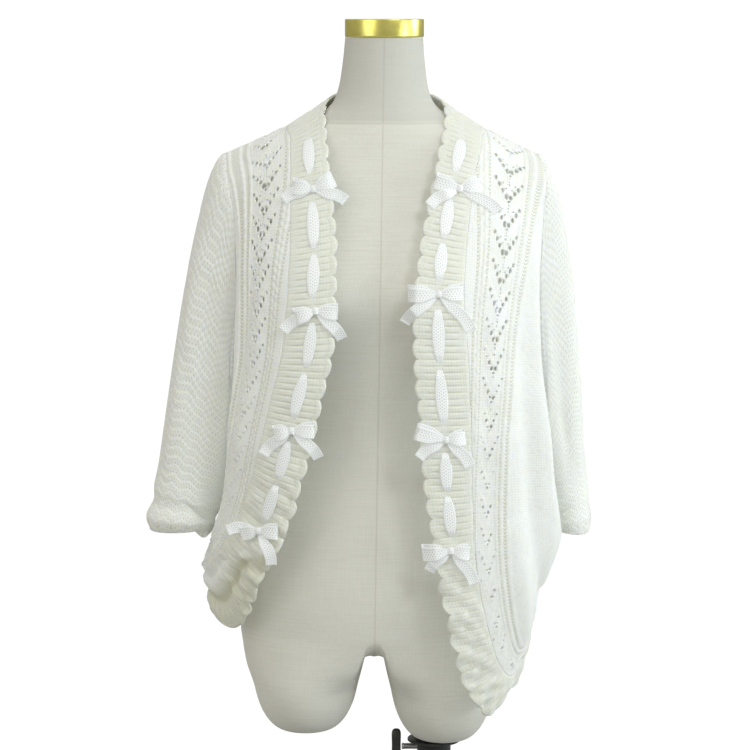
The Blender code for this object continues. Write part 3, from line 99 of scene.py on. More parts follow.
# The right band's lower corner, folded under: its rows, the shift of its tip, the lip above it,
# and its folds as place across the band, half width and height
CORNER_ROWS = (11.1, 11.7, 13.0, 13.6)
TIP_ROW = 11.5
TIP_ROWS = 0.65
TIP_SHIFT = np.array((10.0, 0.0, -2.0)) * MM
LIP_ROW = 9.45
LIP_SLANT = 1.3
LIP_HEIGHT = 1.8
LIP_DROP = 2.0
TURNED_FOLDS = (
    (0.24, 0.09, 2.2),
    (0.47, 0.09, -4.2),
    (0.68, 0.08, 2.6),
    (0.86, 0.06, -2.6),
    (0.97, 0.05, 2.4),
)

# Sleeves and back: points, and the plain cuff's place and ribs
SLEEVE_STEPS = (150, 140)
BACK_STEPS = (180, 62)
UNDER_STEPS = 14
FRONT_UNDER_STEPS = 16
TURNED_KNIT = 0.06
SLEEVE_WALES = 84
CUFF_FROM = (0.955, 0.965)
PUFF_ROWS = (0.80, 0.91, 0.93, 1.0)
ROLL_ROWS = (0.925, 0.962, 0.972, 1.0)
ROLL_DIP = (0.912, 0.02)
HANG_PLACE = (0.60, 0.09)
CUFF_LINE = 0.958
# How far from the middle the sleeve's painted shade beside the front reaches
INNER_SHADE = 0.218

# Knitting
WALE = 4.0 * MM
COURSE = 3.3 * MM

# Ribbon
RIBBON_WALL = 0.5 * MM
RIBBON_LINE = 0.42
RIBBON_HALF = 6.6 * MM
RIBBON_FULL = 7.4 * MM
RIBBONS_BETWEEN = 2
RIBBON_TOP_ROW = 2.2
RIBBON_TO_FIRST_BOW = 0.25
RIBBON_TO_BOW = 0.16
RIBBON_DIVE = 0.06
RIBBON_PLACES = np.linspace(-1, 1, 11)
# The ribbon's flat width as it is declared. The shapes are wider than this in places.
KNOT_LENGTH = 0.03
LOOP_STEPS = 48
TAIL_STEPS = 32
LOOSE_DEPTH = 6.0 * MM

# Looks: how much light passes the cloth, and the colours
LIGHT_THROUGH = 0.70
EYELETS_THROUGH = 0.85
YARN = (0.885, 0.90, 0.89)
YARN_PALE = (0.92, 0.94, 0.935)
# Painted shade: the yarn's colour in the gaps between stitches, and in hollows, eyelets and ladder rungs
YARN_GAP_SHADE = (0.81, 0.82, 0.77)
YARN_SHADED = (0.57, 0.57, 0.45)
RIBBON_DEEP, RIBBON_PALE = (0.87, 0.885, 0.90), (0.93, 0.945, 0.955)
LINEN_DEEP, LINEN_PALE = (0.68, 0.67, 0.61), (0.75, 0.745, 0.69)
LINEN_SLUB, LINEN_PATCH = (0.60, 0.565, 0.47), (0.71, 0.695, 0.635)
# The neck's colour is painted shade; the seam colour is the seams' own
LINEN_NECK_SHADE, LINEN_SEAM = (0.50, 0.495, 0.455), (0.45, 0.44, 0.37)
BRASS_DEEP, BRASS_PALE = (0.80, 0.71, 0.17), (0.90, 0.82, 0.25)
BLACK_DEEP, BLACK_DUSTY = (0.014, 0.014, 0.015), (0.045, 0.044, 0.042)
STEEL_DEEP, STEEL_PALE = (0.46, 0.46, 0.455), (0.66, 0.66, 0.65)

# The room, and its lamps: place, target, size, watts, colour and spread in degrees
WORLD_ABOVE = 0.74
WORLD_BELOW = 0.22
WORLD_COLOUR = (1.0, 0.992, 0.93, 1)
WHITE_SEEN = 1.05
FLOOR_RADIUS = 7.0
FLOOR_GREY = (0.45, 0.45, 0.44)
LAMPS = {
    "key": ((1.4, -2.2, 2.6), (0.03, 0, 0.72), 0.7, 1.25, (0.94, 0.99, 1.0), 34),
    "rim": ((2.5, 0.35, 1.25), (0, 0, 0.90), 0.7, 13, (0.90, 0.98, 1.0), 180),
    "side": ((2.4, -1.3, 0.7), (0.17, 0, 0.50), 1.0, 18.5, (0.90, 0.98, 1.0), 180),
    "fill": ((-2.2, -2.2, 1.5), (0, 0, 0.75), 2.0, 19.5, (1.0, 0.985, 0.90), 180),
}

# Dress form and its stand
LEAN = 0.0158
LEAN_FROM = 1.416
LEAN_SHIFT = 9.8 * MM
BUST_HEIGHT = 0.805
BUST_ASIDE = 0.075
BUST_DEPTH = 0.026
BUST_HALF = (0.046, 0.062)
CROTCH_HEIGHT = 0.346
ARCH_HALF = 9.0 * MM
STUB_FLAT = 0.024
STUB_Y = 0.004
RING_POINTS = 112
CROTCH_POINTS = 21
STUB_STEPS = 26
COLLAR_SEAM = 1.006
CAP_BOTTOM = 1.1083
CAP_TOP = 1.130
CAP_RADIUS = 0.0478
POLE_X = 0.0675
POLE_Y = 0.004
POLE_RADIUS = 0.0125
POLE_TOP = 0.360
BORE_GAP = 0.4 * MM
BASE_RADIUS = 0.150
BASE_HEIGHT = 0.010
SOCKET_TOP = 0.2392
SOCKET_BOTTOM = 0.192
SOCKET_RADIUS = 0.021
SAUCER_RADIUS = 0.033
SAUCER_HEIGHT = 0.003
SCREW_HEIGHT = 0.2285
SCREW_RADIUS = 0.004
HOLE_FROM_X = 0.035
WING_X = 0.0205
WING_HALF = (0.0065, 0.006, 0.0225)
WING_ROUND = 0.45

# The form's sections: height, half width, depth in front and behind
FORM_ROWS = (
    (1108, 47, 45, 45),
    (1075, 50, 47, 48),
    (1045, 55, 50, 53),
    (1026, 64, 54, 60),
    (1010, 86, 59, 67),
    (994, 119, 64, 74),
    (978, 150, 68, 80),
    (960, 171, 73, 85),
    (936, 178, 81, 89),
    (900, 174, 92, 94),
    (850, 162, 105, 96),
    (800, 152, 112, 92),
    (750, 139, 102, 84),
    (700, 124, 91, 77),
    (645, 114, 84, 72),
    (590, 123, 87, 82),
    (530, 144, 92, 100),
    (470, 160, 94, 113),
    (420, 166, 92, 116),
    (380, 166, 86, 109),
)

# The thighs' stubs: middle, half sizes and lowest level
Stub = namedtuple("Stub", "middle_x half_x half_y bottom")
STUB_RIGHT = Stub(-92, 66, 76, 252)
STUB_LEFT = Stub(78, 66, 76, 239.5)

# Band rows: free edge x, y, z and seam x, y, z. Row 0 is the middle of the neck's
# back, 1 the shoulder seam, 13 the side seam, 15 the middle of the back hem.
BAND_RIGHT = (
    (0, 63, 1044, 0, 80, 994),
    (-60, 14, 1034, -104, 12, 1003),
    (-66, -45, 1004, -107, -47, 984),
    (-63, -88, 955, -106, -87, 943),
    (-55, -120, 884, -106, -116, 874),
    (-54, -143, 815, -109, -134, 808),
    (-57, -147, 747, -115, -138, 744),
    (-73, -144, 674, -130, -134, 682),
    (-89, -138, 604, -145, -125, 621),
    (-111, -128, 532, -161, -108, 564),
    (-138, -112, 474, -182, -85, 513),
    (-163, -88, 427, -201, -58, 480),
    (-186, -52, 393, -213, -28, 464),
    (-206, -4, 412, -214, 2, 466),
    (-158, 88, 420, -164, 92, 472),
    (0, 127, 422, 0, 130, 474),
)
BAND_LEFT = (
    (0, 63, 1044, 0, 80, 994),
    (71, 14, 1033, 114, 12, 1001),
    (77, -45, 1001, 121, -47, 984),
    (68, -88, 955, 111, -87, 943),
    (53, -120, 884, 102, -118, 874),
    (43, -143, 815, 98, -136, 809),
    (42, -147, 733, 103, -140, 732),
    (49, -144, 650, 107, -138, 651),
    (56, -139, 565, 109, -134, 568),
    (71, -133, 476, 114, -130, 484),
    (86, -125, 396, 129, -118, 404),
    (108, -112, 326, 146, -100, 353),
    (137, -80, 294, 165, -66, 340),
    (172, -4, 340, 186, 2, 390),
    (152, 88, 402, 160, 92, 454),
    (0, 127, 422, 0, 130, 474),
)

# The body's outer line, on the front for band rows 1 to 13, on the back from the
# shoulder tip down, and the side seam from the underarm down
ARM_FRONT_RIGHT = (
    (-187, 10, 968),
    (-183, -30, 937),
    (-176, -45, 900),
    (-172, -55, 840),
    (-171, -60, 773),
    (-171, -65, 711),
    (-173, -68, 657),
    (-177, -68, 612),
    (-184, -62, 572),
    (-192, -50, 540),
    (-199, -35, 518),
    (-204, -16, 503),
    (-205, 4, 496),
)
ARM_FRONT_LEFT = (
    (191, 10, 967),
    (200, -30, 938),
    (196, -45, 900),
    (192, -56, 841),
    (190, -61, 774),
    (191, -65, 711),
    (200, -68, 648),
    (208, -68, 590),
    (216, -62, 539),
    (220, -50, 508),
    (217, -34, 489),
    (209, -14, 480),
    (203, 6, 478),
)
ARM_BACK_RIGHT = (
    (-187, 10, 968),
    (-184, 44, 930),
    (-178, 64, 870),
    (-174, 74, 790),
    (-173, 76, 710),
    (-177, 70, 630),
    (-188, 54, 560),
    (-198, 32, 515),
    (-205, 4, 496),
)
ARM_BACK_LEFT = (
    (191, 10, 967),
    (189, 44, 930),
    (184, 64, 870),
    (180, 74, 790),
    (180, 76, 710),
    (184, 72, 630),
    (192, 60, 560),
    (199, 38, 505),
    (203, 6, 478),
)
SIDE_SEAM_RIGHT = (
    (-163, 8, 736),
    (-158, 8, 660),
    (-166, 8, 594),
    (-180, 6, 541),
    (-194, 5, 512),
    (-205, 4, 496),
)
SIDE_SEAM_LEFT = (
    (180, 8, 736),
    (179, 8, 655),
    (190, 8, 570),
    (198, 7, 512),
    (201, 7, 487),
    (203, 6, 478),
)

# The back's middle line: fullness, y and z, down from the neck seam to the hem seam
BACK_ROWS = (
    (0, 80, 994),
    (6, 104, 930),
    (10, 116, 850),
    (12, 122, 750),
    (12, 126, 650),
    (8, 129, 560),
    (0, 130, 474),
)

Cuff = namedtuple("Cuff", "x y z half_x half_y droop outward inward puff folded roll hang")
CUFF_RIGHT = Cuff(-248, -6, 506, 35, 33, -2, 18, 17, 0.45, 1.0, 4.6, 16.0)
CUFF_LEFT = Cuff(236, 0, 505, 22, 46, -3, 18, 0, 0.35, 0.6, 1.5, 2.0)

# Folds as in the solids, but for two of the left front's, which are 1 mm deeper, then softer
# creases that only show here
Fold = namedtuple("Fold", "u_from t_from u_to t_to width height")
FOLDS_RIGHT = (
    Fold(0.86, 4.0, 0.82, 9.5, 13, 7),
    Fold(0.20, 4.5, 0.25, 9.0, 12, -4),
    Fold(0.60, 6.0, 0.45, 11.5, 14, 4),
    Fold(0.50, 9.6, 0.40, 12.6, 10, -5),
    Fold(0.40, 3.2, 0.70, 6.4, 9, -1.6),
    Fold(0.66, 5.4, 0.58, 9.4, 7, -1.8),
    Fold(0.10, 8.8, 0.20, 12.0, 6, 1.6),
)
FOLDS_LEFT = (
    Fold(0.84, 3.5, 0.86, 10.5, 14, 11),
    Fold(0.12, 4.5, 0.20, 9.5, 12, -3),
    Fold(0.62, 5.0, 0.58, 11.0, 13, -4),
    Fold(0.40, 8.5, 0.30, 12.0, 15, 7),
    Fold(0.66, 9.6, 0.62, 12.6, 12, -8),
    Fold(0.74, 6.2, 0.70, 9.6, 7, 1.8),
    Fold(0.92, 7.4, 0.80, 11.2, 8, -2.2),
    Fold(0.50, 10.6, 0.80, 12.2, 7, -2.0),
)
FOLDS_BACK = (
    Fold(-0.72, 0.16, -0.66, 0.92, 20, 7),
    Fold(-0.40, 0.30, -0.46, 0.96, 18, -6),
    Fold(-0.12, 0.34, -0.20, 0.95, 20, 6),
    Fold(0.16, 0.30, 0.10, 0.94, 18, -6),
    Fold(0.44, 0.26, 0.36, 0.96, 20, 7),
    Fold(0.74, 0.18, 0.68, 0.93, 18, -5),
    Fold(-0.90, 0.10, -0.30, 0.42, 9, -2.2),
    Fold(0.92, 0.08, 0.24, 0.46, 10, -2.4),
    Fold(-0.55, 0.50, -0.30, 0.84, 8, -1.8),
    Fold(0.58, 0.48, 0.66, 0.88, 8, 2.0),
)
FOLDS_SLEEVE = (
    Fold(0.10, 0.15, 0.14, 0.85, 12, 5),
    Fold(0.22, 0.20, 0.24, 0.90, 10, -5),
    Fold(0.33, 0.25, 0.36, 0.80, 10, 4),
    Fold(0.66, 0.20, 0.62, 0.85, 12, -5),
    Fold(0.82, 0.15, 0.84, 0.85, 12, 5),
    Fold(0.02, 0.30, 0.20, 0.62, 7, -1.6),
    Fold(0.30, 0.46, 0.16, 0.86, 7, -1.8),
    Fold(0.74, 0.30, 0.92, 0.66, 8, -1.8),
    Fold(0.58, 0.50, 0.72, 0.90, 7, -1.6),
    Fold(0.24, 0.885, 0.42, 0.955, 6, -4.5),
)

# Bows: place on the band (row and share of its width) and where loops and tails end
Bow = namedtuple("Bow", "row across loop_a loop_b tail_a tail_b")
BOWS_RIGHT = (
    Bow(3.30, 0.36, (-25, 3), (24, 11), (-36, -13), (38, -15)),
    Bow(5.32, 0.36, (-24, -7), (26, -1), (-38, -24), (31, -34)),
    Bow(7.42, 0.40, (-22, -4), (26, 1), (-34, -30), (31, -34)),
    Bow(9.36, 0.46, (-22, -5), (23, 0), (-38, -2), (15, -42)),
)
BOWS_LEFT = (
    Bow(3.25, 0.62, (-29, 9), (24, 5), (-36, -20), (46, -28)),
    Bow(5.02, 0.44, (-36, 0), (28, 2), (-40, -35), (38, -43)),
    Bow(7.14, 0.46, (-36, 10), (22, 3), (-32, -22), (28, -33)),
    Bow(8.70, 0.36, (-34, -4), (22, -2), (-26, -26), (28, -41)),
)

# Up each front the lace: shares of the width at band rows for its middle, then its first V, the
# distance from V to V, and how far the lower ones close up
Lace = namedtuple("Lace", "rows middle first pitch faded")
LACE_RIGHT = Lace(
    (1, 2, 3, 4, 5, 6.5, 8, 13),
    (0.38, 0.35, 0.33, 0.39, 0.42, 0.44, 0.46, 0.46), 13.5, 30.5, 0.4,
)
LACE_LEFT = Lace(
    (1, 2.5, 3.2, 4, 4.7, 5.4, 6.2, 7, 8, 9, 9.5, 10.5, 13),
    (0.42, 0.41, 0.42, 0.39, 0.37, 0.31, 0.25, 0.19, 0.14, 0.10, 0.075, 0.06, 0.06), 12, 34.5, 0.35,
)
NARROW_AT = (60, 110, 165, 215, 280, 400)
NARROW = (1.0, 0.93, 0.80, 0.73, 0.66, 0.52)
STEEP_AT = (75, 125)
STEEP = (1.0, 1.4)
LACE_SLOPE = 0.90
ARM_HOLES = ((3.8, 0.6), (9.4, 5.8), (15.0, 11.2), (20.6, 16.6))
HOLE_HALF = (2.35, 3.0)
INNER_HOLES = ((4.8, 8.6), (9.8, 13.4))
STEM_HOLES = (6.5, 10.5, 14.5)
STEM_HALF = (1.3, 1.5)
LARGEST_MOVE = 2.5 * MM
# Cables and ropes up the fronts: distance from the lace's middle, half width, height
CABLES = ((24.0, 2.2, 1.7), (35.5, 2.6, 2.3), (51.0, 2.4, 2.2))
ROPES = ((-34.0, 2.3, 1.9), (-41.0, 2.3, 1.8))
LADDERS = ((44.0, 3.6), (29.0, 2.2), (-28.5, 1.9), (-46.5, 1.9))
LADDER_PITCH = 4.6
# Openwork of the sleeves and back: eyelets in courses that run in zigzags
EYELET = (4.7, 5.0)
ZIGZAG = (29.0, 5.5)


def smooth_step(low, high, value):
    f = np.clip((np.asarray(value, float) - low) / (high - low), 0, 1)
    return f * f * (3 - 2 * f)


def unit(vectors):
    return vectors / np.maximum(np.linalg.norm(vectors, axis=-1, keepdims=True), 1e-12)


def between(start, end, share):
    return start + (end - start) * np.asarray(share)[..., None]


def bell(value, middle, width):
    """1 at the middle, falling smoothly away on both sides."""
    return np.exp(-(((value - middle) / width) ** 2))


def grid(rows, columns):
    """The rows' and the columns' numbers, each at all places of their grid."""
    return np.meshgrid(rows, columns, indexing="ij")


def add_object(name, data):
    obj = bpy.data.objects.new(name, data)
    bpy.context.scene.collection.objects.link(obj)
    return obj


def outwards(points):
    """Level directions away from the object's axis."""
    flat = np.array(points, float)
    flat[..., 2] = 0
    return unit(flat)


class Track:
    """A smooth line through rows of three numbers, each at its own place."""

    def __init__(self, places, rows, scale=MM):
        self.places = np.array(list(places), float)
        self.rows = np.array(rows, float) * scale
        low = np.maximum(np.arange(len(self.rows)) - 1, 0)
        high = np.minimum(np.arange(len(self.rows)) + 1, len(self.rows) - 1)
        run = (self.places[high] - self.places[low])[:, None]
        self.slopes = (self.rows[high] - self.rows[low]) / run

    def at(self, place):
        place = np.clip(np.asarray(place, float), self.places[0], self.places[-1])
        index = np.minimum(np.searchsorted(self.places[1:], place), len(self.places) - 2)
        span = self.places[index + 1] - self.places[index]
        f = ((place - self.places[index]) / span)[..., None]
        span = span[..., None]
        leave, arrive = self.slopes[index] * span, self.slopes[index + 1] * span
        return (
            self.rows[index] * (2 * f**3 - 3 * f**2 + 1)
            + leave * (f**3 - 2 * f**2 + f)
            + self.rows[index + 1] * (3 * f**2 - 2 * f**3)
            + arrive * (f**3 - f**2)
        )


class Line:
    """A track lifted off the form once, at close places, and read between them."""

    def __init__(self, point_at, low, high, steps=900):
        self.places = np.linspace(low, high, steps + 1)
        self.points = point_at(self.places)

    def at(self, place):
        place = np.asarray(place, float)
        parts = [np.interp(place, self.places, self.points[:, axis]) for axis in range(3)]
        return np.stack(parts, -1)


FORM = Track([-row[0] * MM for row in FORM_ROWS], [row[1:] for row in FORM_ROWS])


def form_lean(z):
    return LEAN * (z - LEAN_FROM) + LEAN_SHIFT


def form_front(x, z, front):
    """The front's depth at this height, with the bust's two mounds."""
    aside = (np.abs(x) - BUST_ASIDE) / BUST_HALF[0]
    above = (z - BUST_HEIGHT) / BUST_HALF[1]
    return front + BUST_DEPTH * np.exp(-aside * aside - above * above)


def form_reach(points):
    """How far out points lie among the form's sections: 1 is on its surface."""
    rows = FORM.at(-points[:, 2])
    x = points[:, 0] - form_lean(points[:, 2])
    depth = np.where(points[:, 1] < 0, form_front(x, points[:, 2], rows[:, 1]), rows[:, 2])
    return np.hypot(x / rows[:, 0], points[:, 1] / depth)


def clear_of_form(points):
    """Lifts points of the cloth's middle off the form, so the cloth rests on it."""
    step = 0.2 * MM
    shape = points.shape
    points = points.reshape(-1, 3).copy()
    gap = REST_GAP + (BACK_REST_GAP - REST_GAP) * smooth_step(-0.02, 0.02, points[:, 1])
    near = np.arange(len(points))
    for _ in range(8):
        here = points[near]
        reach = form_reach(here)
        slope = [form_reach(here + axis * step) - reach for axis in np.eye(3)]
        slope = np.stack(slope, 1) / step
        length = np.linalg.norm(slope, axis=1)
        short = gap[near] - (reach - 1) / length
        low = short > 1e-7
        if not low.any():
            break
        near, slope, length, short = near[low], slope[low], length[low], short[low]
        points[near] += slope / length[:, None] * short[:, None]
    return points.reshape(shape)


class Side:
    """One half of the cardigan: its band's edge and seam, and its armhole."""

    def __init__(self, name, sign, band_rows, arm_front, arm_back, side_seam, cuff, folds, bows):
        self.name, self.sign, self.cuff, self.folds, self.bows = name, sign, cuff, folds, bows
        table = np.array(band_rows, float)
        places = range(-1, len(table) + 1)
        edge = Track(places, self.with_ends(table[:, :3]))
        seam = Track(places, self.with_ends(table[:, 3:]))
        arm = Track(range(1, 14), arm_front)
        steps = len(arm_back) - 1
        back_arm = Track([i / steps for i in range(steps + 1)], arm_back)
        self.middle = lambda t: (edge.at(t) + seam.at(t)) / 2
        self.neck_rows = self.divide(0, 1)
        self.front_rows = self.divide(1, 13)
        self.hem_rows = self.divide(13, 15)
        self.underarm = min(self.front_rows[::2], key=lambda t: abs(t - UNDERARM_ROW))
        steps = len(side_seam) - 1
        places = [self.underarm + (13 - self.underarm) * i / steps for i in range(steps + 1)]
        sides = Track(places, side_seam)
        self.edge = Line(lambda t: clear_of_form(edge.at(t)), 0, 15).at
        self.seam = Line(lambda t: clear_of_form(seam.at(t)), 0, 15).at
        self.arm = Line(lambda t: clear_of_form(arm.at(t)), 1, 13).at
        self.side_seam = Line(lambda t: clear_of_form(sides.at(t)), self.underarm, 13).at
        self.back_arm = Line(lambda v: clear_of_form(back_arm.at(v)), 0, 1).at
        self.side_end = Line(lambda u: front_point(self, u, np.full(len(u), 13.0)), 0, 1).at

    @staticmethod
    def with_ends(rows):
        """Adds a mirrored row before the neck's middle and after the hem's."""
        mirror = np.array((-1, 1, 1))
        return np.vstack((rows[1] * mirror, rows, rows[-2] * mirror))

    def divide(self, t_from, t_to):
        """Rows one scallop apart along the band's middle, an even number of steps."""
        fine = 40 * int(t_to - t_from)
        places = np.linspace(t_from, t_to, fine + 1)
        lengths = lengths_along(self.middle(places))
        steps = max(2 * round(lengths[-1] / SCALLOP / 2), 2)
        return np.interp(lengths[-1] * np.arange(steps + 1) / steps, lengths, places)


def lengths_along(points):
    steps = np.linalg.norm(np.diff(points, axis=0), axis=1)
    return np.concatenate(([0.0], np.cumsum(steps)))


def fold_height(folds, u, t, width):
    """The sum of the folds' ridges and troughs."""
    total = np.zeros(np.broadcast(u, t).shape)
    for fold in folds:
        along = np.clip((t - fold.t_from) / (fold.t_to - fold.t_from), 0, 1)
        middle = fold.u_from + (fold.u_to - fold.u_from) * along
        aside = (u - middle) * width / (fold.width * MM)
        swell = np.maximum(np.sin(math.pi * along), 0) ** 0.7
        total = total + fold.height * MM * np.exp(-aside * aside) * swell
    return total


def band_point(side, t, w):
    """Points of the band's middle surface: w is 0 at the free edge, 1 at the seam."""
    point = between(side.edge(t), side.seam(t), w)
    crown = BAND_CROWN * smooth_step(1, 3, t) * (1 - smooth_step(13, 15, t))
    return clear_of_form(point + outwards(point) * (crown * 4 * w * (1 - w))[..., None])


def front_width(side, t):
    return np.linalg.norm(side.arm(t) - side.seam(t), axis=-1)


def front_point(side, u, t):
    """Points of a front: u runs from the band seam to the armhole."""
    point = between(side.seam(t), side.arm(t), u)
    width = front_width(side, t)
    crown = FRONT_CROWN * smooth_step(1.5, 4.5, t) * (1 - smooth_step(9, 13, t))
    window = 1 - (2 * u - 1) ** 8
    lift = crown * 4 * u * (1 - u) + window * fold_height(side.folds, u, t, width)
    lift = lift * smooth_step(NARROW_FRONT, WIDE_FRONT, width)
    return clear_of_form(point + outwards(point) * lift[..., None])


def side_line(side, v):
    """The back's outer line: down the armhole, then down the side seam."""
    upper = side.back_arm(np.minimum(v / SIDE_V, 1))
    lower = side.side_end(np.clip((1 - v) / (1 - SIDE_V), 0, 1))
    return np.where((v <= SIDE_V)[..., None], upper, lower)


def turned_in(side, start, t, s):
    """From the body's outer line, at s 0, in beside the sleeve to the side seam, at s 1."""
    seam = side.side_seam(t)
    point = between(start, seam, s)
    point[..., 2] = start[..., 2] + (seam[..., 2] - start[..., 2]) * np.sin(math.pi / 2 * s)
    inwards = TURN_IN * smooth_step(0, FULL_TURN, np.linalg.norm(seam - start, axis=-1))
    point[..., 0] -= side.sign * inwards * 4 * s * (1 - s)
    return clear_of_form(point)


def front_under(side, s, t):
    return turned_in(side, side.arm(t), t, s)


def back_under(side, s, v):
    t = side.underarm + (13 - side.underarm) * (v - UNDERARM_V) / (SIDE_V - UNDERARM_V)
    return turned_in(side, side_line(side, v), t, s)


BACK_MIDDLE = Track(np.arange(len(BACK_ROWS)) / (len(BACK_ROWS) - 1), BACK_ROWS)


def back_section(side, a, v):
    """The back's plain section: flat over the middle and turning in at the sides."""
    end, middle = side_line(side, v), BACK_MIDDLE.at(v)
    turn = 1 - a**2.6
    x = end[..., 0] * a
    y = end[..., 1] + (middle[..., 1] - end[..., 1]) * turn
    z = end[..., 2] + (middle[..., 2] - end[..., 2]) * turn
    window = (1 - a**6) * np.sin(math.pi * v)
    y = y + middle[..., 0] * 4 * a * (1 - a)
    y = y + window * fold_height(FOLDS_BACK, side.sign * a, v, 0.2)
    return np.stack((x, y, z), -1)


def back_point(side, a, v):
    """Points of one half of the back: a from its middle outwards, v from the top down."""
    none, all_ = np.zeros(a.shape), np.ones(a.shape)
    shoulder = front_point(side, np.clip(2 * a - 1, 0, 1), all_)
    top = np.where((a <= 0.5)[..., None], side.seam(np.minimum(2 * a, 1)), shoulder)
    top_shift = top - back_section(side, a, none)
    hem_shift = side.seam(15 - 2 * a) - back_section(side, a, all_)
    point = back_section(side, a, v)
    point = point + top_shift * ((1 - v) ** 3)[..., None] + hem_shift * (v**4)[..., None]
    return clear_of_form(point)


def cuff_point(side, q):
    """Points of the cuff's ring: q 0 is its outer end, 0.25 the front."""
    cuff, angle = side.cuff, 2 * math.pi * q
    inward = (1 - np.cos(angle)) / 2
    x = cuff.x + side.sign * cuff.half_x * np.cos(angle)
    y = cuff.y - cuff.half_y * np.sin(angle)
    return np.stack((x, y, cuff.z - cuff.droop * inward), -1) * MM


def sleeve_root(side, q):
    """The armhole as a ring: down the front, under the arm, then up the back."""
    up = 1 - q
    spread = 0.5 - UNDERARM_Q
    low = np.full(q.shape, side.underarm)
    front = side.arm(1 + (side.underarm - 1) * np.minimum(q, UNDERARM_Q) / UNDERARM_Q)
    under = front_under(side, np.clip((q - UNDERARM_Q) / spread, 0, 1), low)
    behind = back_under(side, np.clip((up - UNDERARM_Q) / spread, 0, 1), np.full(q.shape, UNDERARM_V))
    back = side_line(side, UNDERARM_V * np.minimum(up, UNDERARM_Q) / UNDERARM_Q)
    root = np.where((q <= UNDERARM_Q)[..., None], front, under)
    root = np.where((q > 0.5)[..., None], behind, root)
    return np.where((up <= UNDERARM_Q)[..., None], back, root)


def sleeve_point(side, q, w):
    """Points of a sleeve: q round it from its outer line, w down to the cuff."""
    angle = 2 * math.pi * q
    outer, inner = np.maximum(np.cos(angle), 0), np.maximum(-np.cos(angle), 0)
    out = np.stack((side.sign * np.cos(angle), -np.sin(angle), np.zeros(q.shape)), -1)
    swing = side.cuff.outward * outer * np.sin(math.pi * w**0.5)
    swing = swing - side.cuff.inward * inner * np.sin(math.pi * w**1.3)
    puffed = smooth_step(*PUFF_ROWS[:2], w) - 1.25 * smooth_step(*PUFF_ROWS[2:], w)
    puff = CUFF_PUFF * side.cuff.puff * puffed * (1 - 0.5 * inner)
    folds = side.cuff.folded * fold_height(FOLDS_SLEEVE, q, w, SLEEVE_AROUND)
    roll = smooth_step(*ROLL_ROWS[:2], w) - smooth_step(*ROLL_ROWS[2:], w)
    roll = roll - 0.6 * bell(w, *ROLL_DIP)
    puff = puff + side.cuff.roll * MM * roll * (1 - 0.45 * inner)
    point = between(sleeve_root(side, q), cuff_point(side, q), w)
    point[..., 0] += side.sign * swing * MM
    point[..., 2] += CAP_LIFT * outer * np.sin(math.pi * np.clip(w / 0.16, 0, 1))
    far_side = bell(q, *HANG_PLACE) * smooth_step(0.6, 1.0, w)
    point[..., 2] -= side.cuff.hang * MM * far_side
    point = point + out * (puff + folds)[..., None]
    beside = np.interp(q, SET_BESIDE_Q, SET_BESIDE)
    point[..., 0] += side.sign * beside * (WALL + SEAM_GAP) * (1 - w)
    return point


RIGHT = Side(
    "right", -1, BAND_RIGHT, ARM_FRONT_RIGHT, ARM_BACK_RIGHT,
    SIDE_SEAM_RIGHT, CUFF_RIGHT, FOLDS_RIGHT, BOWS_RIGHT,
)
LEFT = Side(
    "left", 1, BAND_LEFT, ARM_FRONT_LEFT, ARM_BACK_LEFT,
    SIDE_SEAM_LEFT, CUFF_LEFT, FOLDS_LEFT, BOWS_LEFT,
)


class Patch:
    """A grid of points on a piece's middle surface, with its place in the knitting and its painted shade."""

    def __init__(self, points, knit, height=None, painted_shade=None, keep=None):
        rows, columns = points.shape[:2]
        self.points, self.knit = points, knit
        self.height = np.zeros((rows, columns)) if height is None else height
        self.painted_shade = np.zeros((rows, columns)) if painted_shade is None else painted_shade
        self.keep = np.ones((rows - 1, columns - 1), bool) if keep is None else keep


def turned_over(patch):
    """The same patch with its rows in the other order, which turns its faces over."""
    parts = (patch.points, patch.knit, patch.height, patch.painted_shade, patch.keep)
    return Patch(*(part[::-1] for part in parts))


def corners_of(patches):
    """All the patches' quads, as numbers of their stacked points."""
    quads, start = [], 0
    for patch in patches:
        rows, columns = patch.points.shape[:2]
        number = start + np.arange(rows * columns).reshape(rows, columns)
        quad = (number[:-1, :-1], number[:-1, 1:], number[1:, 1:], number[1:, :-1])
        quads.append(np.stack(quad, -1)[patch.keep])
        start += rows * columns
    return np.concatenate(quads)


